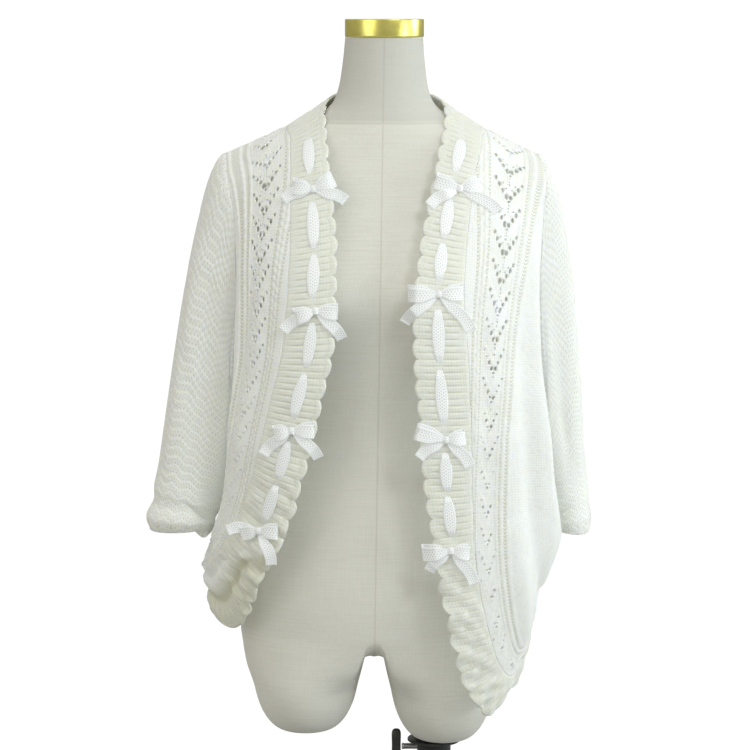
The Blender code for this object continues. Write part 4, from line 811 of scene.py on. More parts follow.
def cloth_shell(name, patches, finish, wall=WALL, rounding=0.45, inside=None):
    """A closed wall of cloth with rounded rims, from patches that share their edges."""
    stack = [np.concatenate([getattr(p, kind).reshape(-1, size) for p in patches])
             for kind, size in (("points", 3), ("knit", 2), ("height", 1), ("painted_shade", 1))]
    points, knit, height, painted_shade = stack[0], stack[1], stack[2][:, 0], stack[3][:, 0]
    quads = corners_of(patches)
    keys = np.round(points / (0.02 * MM)).astype(np.int64)
    _, first, owner = np.unique(keys, axis=0, return_index=True, return_inverse=True)
    owner = owner.reshape(-1)
    welded, places = owner[quads], points[first]
    height, painted_shade = height[first], painted_shade[first]
    shifted = np.roll(welded, -1, axis=1)
    whole = (welded != shifted).all(1) & (welded[:, 0] != welded[:, 2]) & (welded[:, 1] != welded[:, 3])
    faces, face_knit = welded[whole], knit[quads[whole]]
    slivers, sliver_knit = [], []
    for number in np.flatnonzero(~whole):
        kept = [i for i in range(4) if welded[number, i] != welded[number, i - 1]]
        if len(kept) == 3:
            slivers.append(welded[number, kept])
            sliver_knit.append(knit[quads[number, kept]])
    triangles = np.array(slivers, int).reshape(-1, 3)
    triangle_knit = np.array(sliver_knit, float).reshape(-1, 3, 2)

    across = np.cross(places[faces[:, 2]] - places[faces[:, 0]], places[faces[:, 3]] - places[faces[:, 1]])
    middle = places[faces].mean(1)
    reference = np.zeros(middle.shape) if inside is None else inside(middle)
    if inside is None:
        reference[:, 2] = middle[:, 2]
    if (across * (middle - reference)).sum() < 0:
        faces, face_knit = faces[:, ::-1], face_knit[:, ::-1]
        triangles, triangle_knit = triangles[:, ::-1], triangle_knit[:, ::-1]
        across = -across
    normals = np.zeros(places.shape)
    for corner in range(4):
        np.add.at(normals, faces[:, corner], across)
    normals = unit(normals)

    edges = [np.stack((faces[:, i], faces[:, (i + 1) % 4]), 1) for i in range(4)]
    edges += [np.stack((triangles[:, i], triangles[:, (i + 1) % 3]), 1) for i in range(3)]
    edges = np.concatenate(edges)
    count = len(places)
    codes = edges[:, 0] * count + edges[:, 1]
    rims = edges[~np.isin(codes, edges[:, 1] * count + edges[:, 0])]
    outer_knit = np.zeros((count, 2))
    outer_knit[owner] = knit
    away = np.zeros(places.shape)
    for a, b in ((0, 1), (1, 0)):
        along = places[rims[:, 1]] - places[rims[:, 0]]
        np.add.at(away, rims[:, a], np.cross(along, normals[rims[:, a]]))
    away = unit(away) * (np.linalg.norm(away, axis=1, keepdims=True) > 0)

    soft = wall / 2 * rounding
    outer = places + normals * (wall / 2 + height)[:, None] - away * soft
    inner = places - normals * (wall / 2) - away * soft
    rim_points = np.unique(rims)
    rim_number = np.zeros(count, int)
    rim_number[rim_points] = 2 * count + np.arange(len(rim_points))
    rim = places[rim_points] + normals[rim_points] * (height[rim_points] / 2)[:, None]
    rim = rim + away[rim_points] * (soft * 0.4)
    vertices = np.vstack((outer, inner, rim))
    a, b = rims[:, 0], rims[:, 1]
    upper = np.stack((b, a, rim_number[a], rim_number[b]), 1)
    lower = np.stack((rim_number[b], rim_number[a], count + a, count + b), 1)
    rim_knit = np.stack((outer_knit[b], outer_knit[a], outer_knit[a], outer_knit[b]), 1)
    quads = np.vstack((faces, count + faces[:, ::-1], upper, lower))
    quad_knit = np.vstack((face_knit, face_knit[:, ::-1], rim_knit, rim_knit))
    triangles = np.vstack((triangles, count + triangles[:, ::-1]))
    triangle_knit = np.vstack((triangle_knit, triangle_knit[:, ::-1]))
    painted_shade = np.concatenate((painted_shade, painted_shade, painted_shade[rim_points]))
    return add_mesh(name, vertices, quads, triangles, finish, quad_knit, triangle_knit, painted_shade)


def add_mesh(name, vertices, quads, triangles, finish, quad_knit=None, triangle_knit=None, painted_shade=None):
    """A smooth mesh from arrays, with its knitting coordinates as a UV map and any painted shade as a point
    attribute.
    """
    mesh = bpy.data.meshes.new(name)
    mesh.vertices.add(len(vertices))
    mesh.vertices.foreach_set("co", np.asarray(vertices, np.float32).ravel())
    loops = np.concatenate((quads.ravel(), triangles.ravel()))
    starts = np.concatenate((np.arange(len(quads)) * 4, 4 * len(quads) + np.arange(len(triangles)) * 3))
    mesh.loops.add(len(loops))
    mesh.loops.foreach_set("vertex_index", loops.astype(np.int32))
    mesh.polygons.add(len(starts))
    mesh.polygons.foreach_set("loop_start", starts.astype(np.int32))
    mesh.update(calc_edges=True)
    if quad_knit is not None:
        layer = mesh.uv_layers.new(name="knit")
        flat = np.concatenate((quad_knit.reshape(-1, 2), triangle_knit.reshape(-1, 2)))
        layer.data.foreach_set("uv", flat.astype(np.float32).ravel())
    if painted_shade is not None:
        attribute = mesh.attributes.new("painted_shade", "FLOAT", "POINT")
        attribute.data.foreach_set("value", painted_shade.astype(np.float32))
    mesh.validate()
    mesh.shade_smooth()
    mesh.materials.append(finish)
    return add_object(name, mesh)


class Number:
    """A number on its way through a material; sums and products add Math nodes."""

    def __init__(self, finish, socket):
        self.finish, self.socket = finish, socket

    def math(self, operation, *others):
        node = self.finish.node("ShaderNodeMath", {"operation": operation}, (self, *others))
        return Number(self.finish, node.outputs[0])

    def __add__(self, other):
        return self.math("ADD", other)

    __radd__ = __add__

    def __sub__(self, other):
        return self.math("SUBTRACT", other)

    def __rsub__(self, other):
        node = self.finish.node("ShaderNodeMath", {"operation": "SUBTRACT"}, (other, self))
        return Number(self.finish, node.outputs[0])

    def __mul__(self, other):
        return self.math("MULTIPLY", other)

    def __truediv__(self, other):
        return self.math("DIVIDE", other)

    def __abs__(self):
        return self.math("ABSOLUTE")

    def part(self):
        return self.math("FRACT")

    def sine(self):
        return self.math("SINE")

    def above(self, low, high):
        """0 below low and 1 above high, smoothly between them."""
        settings = {"interpolation_type": "SMOOTHSTEP"}
        node = self.finish.node("ShaderNodeMapRange", settings, (self, low, high, 0.0, 1.0))
        return Number(self.finish, node.outputs[0])


class Finish:
    """A material under construction."""

    def __init__(self, name, roughness, metallic=0.0, colour=(0.8, 0.8, 0.8)):
        self.material = bpy.data.materials.new(name)
        self.material.use_nodes = True
        self.tree = self.material.node_tree
        self.shader = self.tree.nodes["Principled BSDF"]
        self.feed("Roughness", roughness)
        self.feed("Metallic", metallic)
        self.feed("Base Color", (*colour, 1))

    def node(self, kind, settings=None, values=()):
        node = self.tree.nodes.new(kind)
        for key, value in (settings or {}).items():
            setattr(node, key, value)
        named = values.items() if isinstance(values, dict) else enumerate(values)
        for key, value in named:
            self.connect(node.inputs[key], value)
        return node

    def connect(self, socket, value):
        value = value.socket if isinstance(value, Number) else value
        if isinstance(value, bpy.types.NodeSocket):
            self.tree.links.new(value, socket)
        else:
            socket.default_value = value

    def feed(self, name, value):
        self.connect(self.shader.inputs[name], value)

    def mix(self, share, low, high):
        """A colour between two others."""
        low, high = ((*c, 1) if isinstance(c, tuple) and len(c) == 3 else c for c in (low, high))
        node = self.node("ShaderNodeMix", {"data_type": "RGBA"}, {0: share, 6: low, 7: high})
        return node.outputs[2]

    def place(self):
        return self.node("ShaderNodeTexCoord").outputs["Object"]

    def parts(self, vector):
        node = self.node("ShaderNodeSeparateXYZ", None, (vector,))
        return [Number(self, output) for output in node.outputs]

    def knit_parts(self):
        return self.parts(self.node("ShaderNodeUVMap", {"uv_map": "knit"}).outputs[0])[:2]

    def attribute(self, name):
        node = self.node("ShaderNodeAttribute", {"attribute_name": name})
        return Number(self, node.outputs["Fac"])

    def noise(self, vector, scale, detail=2.0, stretch=(1, 1, 1)):
        """Noise from 0 to 1, finer along an axis whose stretch is larger."""
        if stretch != (1, 1, 1):
            vector = self.node("ShaderNodeMapping", None, {"Vector": vector, "Scale": stretch}).outputs[0]
        values = {"Vector": vector, "Scale": scale, "Detail": detail}
        return Number(self, self.node("ShaderNodeTexNoise", None, values).outputs[0])

    def let_light_through(self, share):
        """Loose cloth: a share of the light passes between its stitches, onto what is behind."""
        path = self.node("ShaderNodeLightPath")
        passing = Number(self, path.outputs["Is Shadow Ray"]) * share
        clear = self.node("ShaderNodeBsdfTransparent")
        mixed = self.node("ShaderNodeMixShader", None, (passing, self.shader.outputs[0], clear.outputs[0]))
        self.connect(self.tree.nodes["Material Output"].inputs["Surface"], mixed.outputs[0])

    def bump(self, height, distance, strength=1.0, under=None):
        values = {"Height": height, "Distance": distance, "Strength": strength}
        if under is not None:
            values["Normal"] = under
        return self.node("ShaderNodeBump", None, values).outputs[0]


def knit_finish(name, ladders=(), eyelets=False):
    """White yarn in V stitches, with painted shade, darker and yellower, between them and in the hollows."""
    finish = Finish(name, 0.88)
    across, down = finish.knit_parts()
    body = finish.place()
    patchy = finish.noise(body, 26.0, 3.0)
    fuzz = finish.noise(body, 900.0, 2.0)
    lump = finish.noise(body, 210.0, 2.0)
    across_wobbled = across + (lump - 0.5) * (1.1 * MM)
    down_wobbled = down + (patchy - 0.5) * (5.0 * MM)
    aside = abs((across_wobbled / WALE).part() - 0.5) * 2
    ridge = 1 - aside.above(0.45, 1.0)
    groove = ((down_wobbled / COURSE + aside * 0.5).part() * math.pi).sine()
    stitch = ridge * groove.above(0.0, 0.9) * lump.above(0.22, 0.55)
    # The share of painted shade: the hollows' and grooves' shade, carried on the mesh
    shade_share = finish.attribute("painted_shade")
    if eyelets:
        sway = abs((across / (ZIGZAG[0] * MM)).part() - 0.5) * (2 * ZIGZAG[1] * MM)
        row = (down + sway) / (EYELET[1] * MM)
        offset = (row.math("FLOOR") * 0.5).part()
        aside_eye = ((across_wobbled / (EYELET[0] * MM) + offset).part() - 0.5) * EYELET[0]
        down_eye = (row.part() - 0.5) * EYELET[1]
        far = (aside_eye * aside_eye + down_eye * down_eye * 0.7).math("SQRT")
        # The eyelets are not cut: each is painted shade, and sunk in the bump
        eye = (1 - far.above(0.55, 1.55)) * (patchy * 0.6 + lump * 0.6).above(0.28, 0.78) * (1 - shade_share)
        shade_share = (shade_share + eye * 0.55).math("MINIMUM", 1.0)
        stitch = stitch - eye
        swell = ((down + sway) / (2 * EYELET[1] * MM) * (2 * math.pi)).sine()
    # Ladders' open rungs: painted shade, and sunk in the bump
    for at, half in ladders:
        beside = abs(across - at * MM) / (half * MM)
        inside = 1 - beside.above(0.80, 1.0)
        rung = (down / (LADDER_PITCH * MM) + beside * 0.62).part()
        gap = (1 - abs(rung - 0.5).above(0.10, 0.24)) * inside
        shade_share = (shade_share + gap * 0.85).math("MINIMUM", 1.0)
        stitch = stitch - gap * 1.6
    # Painted shade in the gaps between stitches
    colour = finish.mix(stitch.above(0.0, 0.75), YARN_GAP_SHADE, YARN)
    colour = finish.mix(patchy.above(0.35, 0.75) * 0.45, colour, YARN_PALE)
    # Painted shade in the hollows, eyelets and ladder rungs
    colour = finish.mix(shade_share, colour, YARN_SHADED)
    finish.feed("Base Color", colour)
    finish.feed("Roughness", 0.80 + fuzz * 0.15)
    soft = finish.bump(fuzz, 0.15 * MM, 0.4)
    loose = finish.bump(patchy + lump * 0.12, 5.0 * MM, 0.5, soft)
    if eyelets:
        loose = finish.bump(swell, 0.45 * MM, 0.6, loose)
    finish.feed("Normal", finish.bump(stitch, 0.30 * MM, 0.7, loose))
    finish.feed("Sheen Weight", 0.2)
    finish.feed("Sheen Roughness", 0.5)
    finish.feed("Specular IOR Level", 0.2)
    finish.feed("Subsurface Weight", 0.5)
    finish.feed("Subsurface Radius", (1.0, 0.92, 0.62))
    finish.feed("Subsurface Scale", 4.0 * MM)
    finish.let_light_through(EYELETS_THROUGH if eyelets else LIGHT_THROUGH)
    return finish.material


def lace_ribbon_finish():
    """Narrow white lace: corded edges, a row of square holes beside each, and a net between."""
    finish = Finish("lace_ribbon", 0.6)
    across, along = finish.knit_parts()
    aside = abs(across)
    beading = aside.above(3.7 * MM, 3.9 * MM) - aside.above(5.0 * MM, 5.2 * MM)
    square = abs((along / (3.0 * MM)).part() - 0.5).above(0.22, 0.28)
    row = across / (2.3 * MM) + 0.5
    shift = (row.math("FLOOR") * 0.5).part()
    net_across = (row.part() - 0.5) * 2.3
    net_along = ((along / (3.8 * MM) + shift).part() - 0.5) * 3.8
    far = (net_across * net_across + net_along * net_along * 0.45).math("SQRT")
    net = (1 - far.above(0.62, 0.86)) * (1 - aside.above(3.0 * MM, 3.2 * MM))
    hole = (beading * (1 - square) + net).math("MINIMUM", 1.0)
    finish.feed("Alpha", 1 - hole * 0.26)
    thread = finish.noise(finish.place(), 1400.0)
    cord = aside.above(5.1 * MM, 5.4 * MM)
    height = cord * 0.8 + far.above(0.6, 1.2) * 0.15 + thread * 0.25
    finish.feed("Normal", finish.bump(height, 0.3 * MM, 0.8))
    finish.feed("Base Color", finish.mix(thread, RIBBON_DEEP, RIBBON_PALE))
    finish.feed("Sheen Weight", 0.2)
    finish.let_light_through(LIGHT_THROUGH)
    return finish.material


def linen_finish():
    """Pale grey-beige linen with uneven warp and weft, a faint seam up the middle, and painted shade over
    the neck.
    """
    finish = Finish("linen", 0.85)
    place = finish.place()
    weft = finish.noise(place, 1.0, 3.0, (24, 24, 720))
    warp = finish.noise(place, 1.0, 3.0, (760, 760, 26))
    slub = finish.noise(place, 1.0, 2.0, (30, 30, 420))
    broad = finish.noise(place, 9.0, 3.0)
    x, y, z = finish.parts(place)
    lean = z * LEAN + (LEAN_SHIFT - LEAN * LEAN_FROM)
    seam = (1 - abs(x - lean).above(0.4 * MM, 1.6 * MM)) * y.math("LESS_THAN", 0.0)
    collar = 1 - abs(z - COLLAR_SEAM).above(0.4 * MM, 1.8 * MM)
    seam = seam.math("MAXIMUM", collar * 0.9)
    weave = weft * 0.5 + warp * 0.5
    colour = finish.mix(weave.above(0.30, 0.70), LINEN_DEEP, LINEN_PALE)
    colour = finish.mix(slub.above(0.62, 0.75) * 0.30, colour, LINEN_SLUB)
    colour = finish.mix(broad.above(0.35, 0.75) * 0.30, colour, LINEN_PATCH)
    # Painted shade: the neck above the collar seam is painted darker
    neck = z.above(COLLAR_SEAM - 2 * MM, COLLAR_SEAM + 5 * MM)
    colour = finish.mix(neck * 0.50, colour, LINEN_NECK_SHADE)
    colour = finish.mix(seam * 0.30, colour, LINEN_SEAM)
    finish.feed("Base Color", colour)
    finish.feed("Roughness", 0.78 + weave * 0.14)
    finish.feed("Normal", finish.bump(weave + slub * 0.4 - seam * 0.8, 0.30 * MM, 0.5))
    finish.feed("Sheen Weight", 0.15)
    finish.feed("Specular IOR Level", 0.25)
    return finish.material


def brass_finish():
    """Satin brass, turned, with fine rings and soft wear."""
    finish = Finish("brass", 0.3, 1.0)
    place = finish.place()
    rings = finish.noise(place, 1.0, 2.0, (6, 6, 1500))
    cloud = finish.noise(place, 60.0, 3.0)
    finish.feed("Base Color", finish.mix(cloud.above(0.3, 0.7), BRASS_DEEP, BRASS_PALE))
    finish.feed("Roughness", 0.24 + rings * 0.14)
    finish.feed("Normal", finish.bump(rings, 0.05 * MM, 0.5))
    return finish.material


def black_finish():
    """Black paint with a slight orange peel and dust."""
    finish = Finish("black_paint", 0.38)
    place = finish.place()
    peel = finish.noise(place, 420.0, 2.0)
    dust = finish.noise(place, 35.0, 4.0)
    finish.feed("Base Color", finish.mix(dust.above(0.45, 0.8), BLACK_DEEP, BLACK_DUSTY))
    finish.feed("Roughness", 0.30 + dust * 0.22)
    finish.feed("Normal", finish.bump(peel, 0.08 * MM, 0.4))
    return finish.material


def steel_finish():
    """Drawn steel with fine marks along it."""
    finish = Finish("steel", 0.28, 1.0)
    place = finish.place()
    drawn = finish.noise(place, 1.0, 3.0, (900, 900, 12))
    finish.feed("Base Color", finish.mix(drawn, STEEL_DEEP, STEEL_PALE))
    finish.feed("Roughness", 0.20 + drawn * 0.16)
    finish.feed("Normal", finish.bump(drawn, 0.03 * MM, 0.5))
    return finish.material


def lace_shares(side, t):
    lace = LACE_RIGHT if side is RIGHT else LACE_LEFT
    return np.interp(t, lace.rows, lace.middle)


def narrowing(down):
    return np.interp(np.asarray(down) / MM, NARROW_AT, NARROW)


def steepening(down):
    return np.interp(np.asarray(down) / MM, STEEP_AT, STEEP)


def lace_frame(side, points, u, t):
    """Places in the knitting: across from the lace's middle line, and down along it."""
    fine = np.linspace(1, 13, 1201)
    line = front_point(side, lace_shares(side, fine), fine)
    padded = np.pad(line, ((60, 60), (0, 0)), mode="reflect", reflect_type="odd")
    sums = np.vstack((np.zeros(3), np.cumsum(padded, axis=0)))
    line = (sums[121:] - sums[:-121]) / 121
    lengths = lengths_along(line)
    way = unit(np.gradient(line, axis=0))
    rate = np.gradient(lengths, fine)

    def at(values, place):
        return np.stack([np.interp(place, fine, values[:, axis]) for axis in range(3)], -1)

    foot = t.copy()
    for _ in range(5):
        gap = ((points - at(line, foot)) * at(way, foot)).sum(-1)
        foot = np.clip(foot + gap / np.interp(foot, fine, rate), 1, 13)
    here, run = at(line, foot), at(way, foot)
    gap = ((points - here) * run).sum(-1)
    aside = np.linalg.norm(points - here - run * gap[..., None], axis=-1)
    return np.sign(u - lace_shares(side, t)) * aside, np.interp(foot, fine, lengths) + gap, lengths[-1]


def lace_hole_list(lace, length):
    """Holes of the leaf pattern: across, down and half sizes, in metres."""
    holes = []
    y = lace.first * MM
    while y < length:
        fade = 1 - lace.faded * float(smooth_step(0.20, 0.42, y))
        narrow, steep = float(narrowing(y)), float(steepening(y))
        half_x, half_y = HOLE_HALF[0] * fade * narrow ** 0.5 * MM, HOLE_HALF[1] * fade * MM
        for number, (aside, up) in enumerate(ARM_HOLES):
            for hand in (-1, 1):
                uneven_by = math.sin(900 * y + 2.1 * number + hand)
                grow = (1.12, 1.05, 0.98, 0.82)[number] * (1 + 0.12 * uneven_by)
                at = (hand * aside * narrow + 0.3 * uneven_by) * MM
                holes.append((at, y - up * steep * MM, half_x * grow, half_y * grow))
        holes.append((0.0, y + 3.6 * MM, half_x * 1.15, half_y))
        small_x, small_y = STEM_HALF[0] * fade * MM, STEM_HALF[1] * fade * MM
        for down in STEM_HOLES:
            holes.append((0.0, y + (down + 3) * MM, small_x, small_y))
        for aside, up in INNER_HOLES:
            for hand in (-1, 1):
                holes.append((hand * aside * narrow * MM, y - up * steep * MM, small_x, small_y))
        y += lace.pitch * MM
    return holes


def slopes_on(points, across, down):
    """How the surface moves for a step across and for a step down the knitting."""
    row_step, column_step = np.gradient(points, axis=(0, 1))
    across_row, across_column = np.gradient(across)
    down_row, down_column = np.gradient(down)
    whole = across_row * down_column - across_column * down_row
    whole = np.where(np.abs(whole) < 1e-9, 1e-9, whole)[..., None]
    to_side = (row_step * down_column[..., None] - column_step * down_row[..., None]) / whole
    to_hem = (column_step * across_row[..., None] - row_step * across_column[..., None]) / whole
    return to_side, to_hem


def cut_holes(points, across, down, holes, border):
    """Moves the grid's points onto the holes' rims; gives each point's hole and its rim's swell."""
    to_side, to_hem = slopes_on(points, across, down)
    owner, ring = np.full(across.shape, -1), np.zeros(across.shape)
    high, low = down.max(1), down.min(1)
    cell = float(np.abs(np.diff(down[:, across.shape[1] // 2])).mean())
    for number, (x0, y0, half_x, half_y) in enumerate(holes):
        rows = np.flatnonzero((high > y0 - 3 * half_y) & (low < y0 + 3 * half_y))
        if len(rows) < 3:
            continue
        block = (slice(max(rows[0], 1), min(rows[-1] + 1, len(high) - 1)), slice(1, -1))
        x, y = across[block] - x0, down[block] - y0
        if not x.size or border[block].ravel()[np.argmin(np.hypot(x, y))] < 2.4 * half_x:
            continue
        far = np.hypot(x / half_x, y / half_y)
        snap = (np.abs(far - 1) < min(0.55 * cell / half_x, 0.5)) & (owner[block] < 0)
        move = np.where(snap, 1 / np.maximum(far, 0.05) - 1, 0.0)
        step = to_side[block] * (x * move)[..., None] + to_hem[block] * (y * move)[..., None]
        size = np.linalg.norm(step, axis=-1, keepdims=True)
        points[block] += step * np.minimum(1, LARGEST_MOVE / np.maximum(size, 1e-9))
        across[block] += x * move
        down[block] += y * move
        inside = ((far <= 1.001) | snap) & (owner[block] < 0)
        owner[block] = np.where(inside, number, owner[block])
        ring[block] = np.maximum(ring[block], bell(far, 1.25, 0.4))
    return owner, ring


def knit_front(side, lace, step, columns, finish):
    fine = np.linspace(1, 13, 1201)
    lengths = lengths_along(front_point(side, lace_shares(side, fine), fine))
    rows = int(round(lengths[-1] / step))
    row_t = np.interp(np.linspace(0, lengths[-1], rows + 1), lengths, fine)
    row_t[np.argmin(np.abs(row_t - side.underarm))] = side.underarm
    t, u = grid(row_t, np.linspace(0, 1, columns + 1))
    width = front_width(side, t)
    points = front_point(side, u, t)
    across, down, length = lace_frame(side, points, u, t)
    border = np.minimum(np.minimum(u, 1 - u) * width, (13 - t) * 0.05)
    owner, ring = cut_holes(points, across, down, lace_hole_list(lace, length), border)
    corners = (owner[:-1, :-1], owner[:-1, 1:], owner[1:, 1:], owner[1:, :-1])
    same = (corners[0] == corners[1]) & (corners[0] == corners[2]) & (corners[0] == corners[3])
    across = across / narrowing(down)
    height, painted_shade = front_relief(lace, across, down, u, t, width)
    height = height + 0.55 * MM * ring
    # Painted shade in a ring round each hole
    painted_shade = np.maximum(painted_shade, 0.18 * ring * (owner < 0))
    patches = [Patch(points, np.stack((across, down), -1), height, painted_shade, ~((corners[0] >= 0) & same))]

    turn_t = row_t[row_t >= side.underarm]
    grid_t, grid_s = grid(turn_t, np.linspace(0, 1, FRONT_UNDER_STEPS + 1))
    turned = front_under(side, grid_s, grid_t)
    start = across[row_t >= side.underarm, -1:]
    knit = np.stack((start + grid_s * TURNED_KNIT, down[row_t >= side.underarm, -1:] + 0 * grid_s), -1)
    patches.append(Patch(turned, knit))
    return cloth_shell("knit_front_" + side.name, patches, finish)


def front_relief(lace, across, down, u, t, width):
    """Leaf ribs, ropes and cables up a front, in metres, and the painted shade along their sides."""
    x, y = across / MM, down / MM
    height, painted_shade = np.zeros(x.shape), np.zeros(x.shape)
    leaf = 1 - smooth_step(17, 21, np.abs(x))
    phase = np.mod(y - lace.first + LACE_SLOPE * steepening(down) * np.abs(x), lace.pitch) / lace.pitch
    for at, wide, tall in ((0.17, 0.045, 0.9), (0.34, 0.05, 0.55), (0.52, 0.05, 0.45), (0.87, 0.045, 0.8)):
        height += tall * bell(phase, at, wide) * leaf
    for number, (at, half, tall) in enumerate(CABLES):
        beat = 0.84 + 0.16 * np.sin(2 * math.pi * (y / 13 + 0.5 * number))
        height += tall * beat * np.exp(-np.abs((x - at) / half) ** 3)
        painted_shade += 0.12 * bell(np.abs(x - at) - half, 1.2, 1.1)
    for number, (at, half, tall) in enumerate(ROPES):
        twist = 0.55 + 0.45 * np.sin(2 * math.pi * (y / 9.0 + (x - at) / 8.0 + 0.5 * number))
        height += tall * twist * bell(x, at, half)
        painted_shade += 0.35 * bell(np.abs(x - at) - half, 0.9, 0.9) * (1.3 - twist)
    edge = np.minimum(np.minimum(u, 1 - u) * width / (4 * MM), (t - 1) * 12)
    edge = np.clip(edge, 0, 1)
    return height * MM * edge, np.clip(painted_shade, 0, 1) * edge


def uneven(number, seed):
    """Repeatable unevenness from -1 to 1 for a numbered rib or stitch."""
    return np.sin(number * 12.9898 + seed * 78.233) * np.cos(number * 4.137 + seed * 3.71)


def band_drape(side, t, w):
    """Loose waves down the band's free edge, gathers round its lower corner, and turned-in folds."""
    gathered = smooth_step(7.2, 9.5, t) * (1 - smooth_step(13.4, 14.6, t))
    waves = 1.6 * np.sin(2 * math.pi * 0.62 * t + 0.8) + 1.1 * np.sin(2 * math.pi * 1.37 * t)
    bend = 0.30 * np.sin(2.3 * math.pi * w + t)
    tucks = 1.9 * np.sin(2 * math.pi * (1.9 * t + bend)) + 1.3 * np.sin(2 * math.pi * (3.1 * t - bend) + 1.0)
    loose = (waves * (0.5 + 0.5 * gathered) + tucks * gathered) * (1 - w) ** 0.6 * smooth_step(1.0, 2.0, t)
    loose = loose * (1 - turned_corner(side, t))
    if side is RIGHT:
        below, under = below_lip(t, w)
        for at, wide, tall in TURNED_FOLDS:
            loose = loose + tall * under * bell(w - at, 0.02 * np.sin(3 * t), wide)
        lip = LIP_HEIGHT * bell(below, -0.06, 0.05) - LIP_DROP * under
        loose = loose + lip * smooth_step(0.10, 0.30, w) * (1 - smooth_step(0.94, 1.0, w))
    return MM * loose


def turned_corner(side, t):
    """The share of each row where the right band's corner is folded under."""
    if side is LEFT:
        return 0 * t
    return smooth_step(*CORNER_ROWS[:2], t) * (1 - smooth_step(*CORNER_ROWS[2:], t))


def below_lip(t, w):
    """How far a place on the right band lies below the lip of its turned corner, and its share."""
    below = t - (LIP_ROW + LIP_SLANT * w)
    return below, smooth_step(0.0, 0.14, below) * (1 - smooth_step(12.9, 13.9, t))


def band_strip(side, coarse):
    """A patch of band, from its free edge to its seam, with ribs and scallops."""
    share = np.tile(np.arange(BAND_STEPS) / BAND_STEPS, len(coarse) - 1)
    index = np.repeat(np.arange(len(coarse) - 1), BAND_STEPS)
    t = coarse[index] + (coarse[index + 1] - coarse[index]) * share
    t = np.append(t, coarse[-1])
    share, index = np.append(share, 0.0), np.append(index, len(coarse) - 1)
    w = np.linspace(0, 1, BAND_COLUMNS + 1) ** 1.15
    grid_t, grid_w = grid(t, w)
    points = band_point(side, grid_t, grid_w)
    lobe = LOBE_DEPTH * np.sin(math.pi * share) ** 0.62 - LOBE_SUNK
    lobe = lobe * (1 - turned_corner(side, t))
    edge_way = unit(side.edge(t) - band_point(side, t, np.full(len(t), 0.5)))
    fade = np.clip(1 - grid_w / LOBE_REACH, 0, 1) ** 1.4
    points = points + edge_way[:, None, :] * (lobe[:, None] * fade)[..., None]
    if side is RIGHT:
        shift = bell(grid_t, TIP_ROW, TIP_ROWS) * (1 - grid_w)
        points = points + shift[..., None] * TIP_SHIFT
    curl = EDGE_CURL * np.sin(math.pi * share)[:, None] * fade
    points = points + outwards(points) * (curl + band_drape(side, grid_t, grid_w))[..., None]
    points = clear_of_form(points)

    place = (index + share) * RIBS_A_SCALLOP
    valley = np.rint(place)
    calm = 1 - CALM_SHARE * smooth_step(*CALM_ROWS, grid_t)
    bend = 0.10 * np.sin(5 * grid_w + 1.7 * grid_t) * (1.3 - calm)
    off = np.abs(place[:, None] + bend - valley[:, None])
    off = np.minimum(off, 1 - off)
    deep = 1 + 0.28 * uneven(valley, 1.0)[:, None]
    start = 0.10 + 0.035 * uneven(valley, 2.0)[:, None]
    channel = RIBBON_LINE + 0.02 * uneven(valley, 3.0)[:, None]
    upper = smooth_step(start, start + 0.10, grid_w)
    upper = upper * (1 - smooth_step(channel - 0.11, channel - 0.04, grid_w))
    lower = smooth_step(channel + 0.04, channel + 0.11, grid_w) * (1 - smooth_step(0.74, 0.88, grid_w))
    window = np.clip(0.15 + upper + lower, 0, 1) * np.clip(grid_w / 0.05, 0, 1)
    groove = bell(off, 0, RIB_GROOVE) * window * deep
    round_rib = np.sin(math.pi * off) ** 0.5
    height = RIB_HEIGHT * calm * (0.55 * round_rib * (0.30 + 0.70 * window) - 0.60 * groove + 0.2)
    height = height + EDGE_BEAD * bell(grid_w, 0.035, 0.030)
    # Painted shade along the rib grooves
    painted_shade = RIB_LINE_SHADE * bell(off, 0, RIB_LINE) * (upper + lower) * deep * calm
    if side is RIGHT:
        below, under = below_lip(grid_t, grid_w)
        # Painted shade under the turned corner's lip and in its trough
        shade = 0.28 * bell(below, 0, 0.25) + 0.32 * (1 - 1.7 * smooth_step(0.50, 0.72, grid_w))
        shade = shade + 0.60 * bell(grid_w, 0.47, 0.06)
        painted_shade = painted_shade + shade * under
    # Painted shade over the whole band and beside its free edge
    painted_shade = painted_shade + BAND_SHADE + EDGE_SHADE * bell(grid_w, 0.085, 0.02)
    along = place * 2 * WALE
    wide = np.linalg.norm(side.edge(t) - side.seam(t), axis=-1)
    knit = np.stack((grid(along, w)[0], grid_w * wide[:, None]), -1)
    return Patch(points, knit, height, np.clip(painted_shade, 0, 1))


def knit_bands(finish):
    made = {}
    for side in (RIGHT, LEFT):
        strip = band_strip(side, side.front_rows)
        made[side.name] = cloth_shell("knit_band_" + side.name, [strip], finish, rounding=0.7)
    for name, kind in (("neck", "neck_rows"), ("hem", "hem_rows")):
        strips = [band_strip(side, getattr(side, kind)) for side in (RIGHT, LEFT)]
        number = 0 if name == "neck" else 1
        strips[number] = turned_over(strips[number])
        strips[number].knit = strips[number].knit * np.array((-1, 1))
        made[name] = cloth_shell("knit_band_" + name, strips, finish, rounding=0.7)
    return made


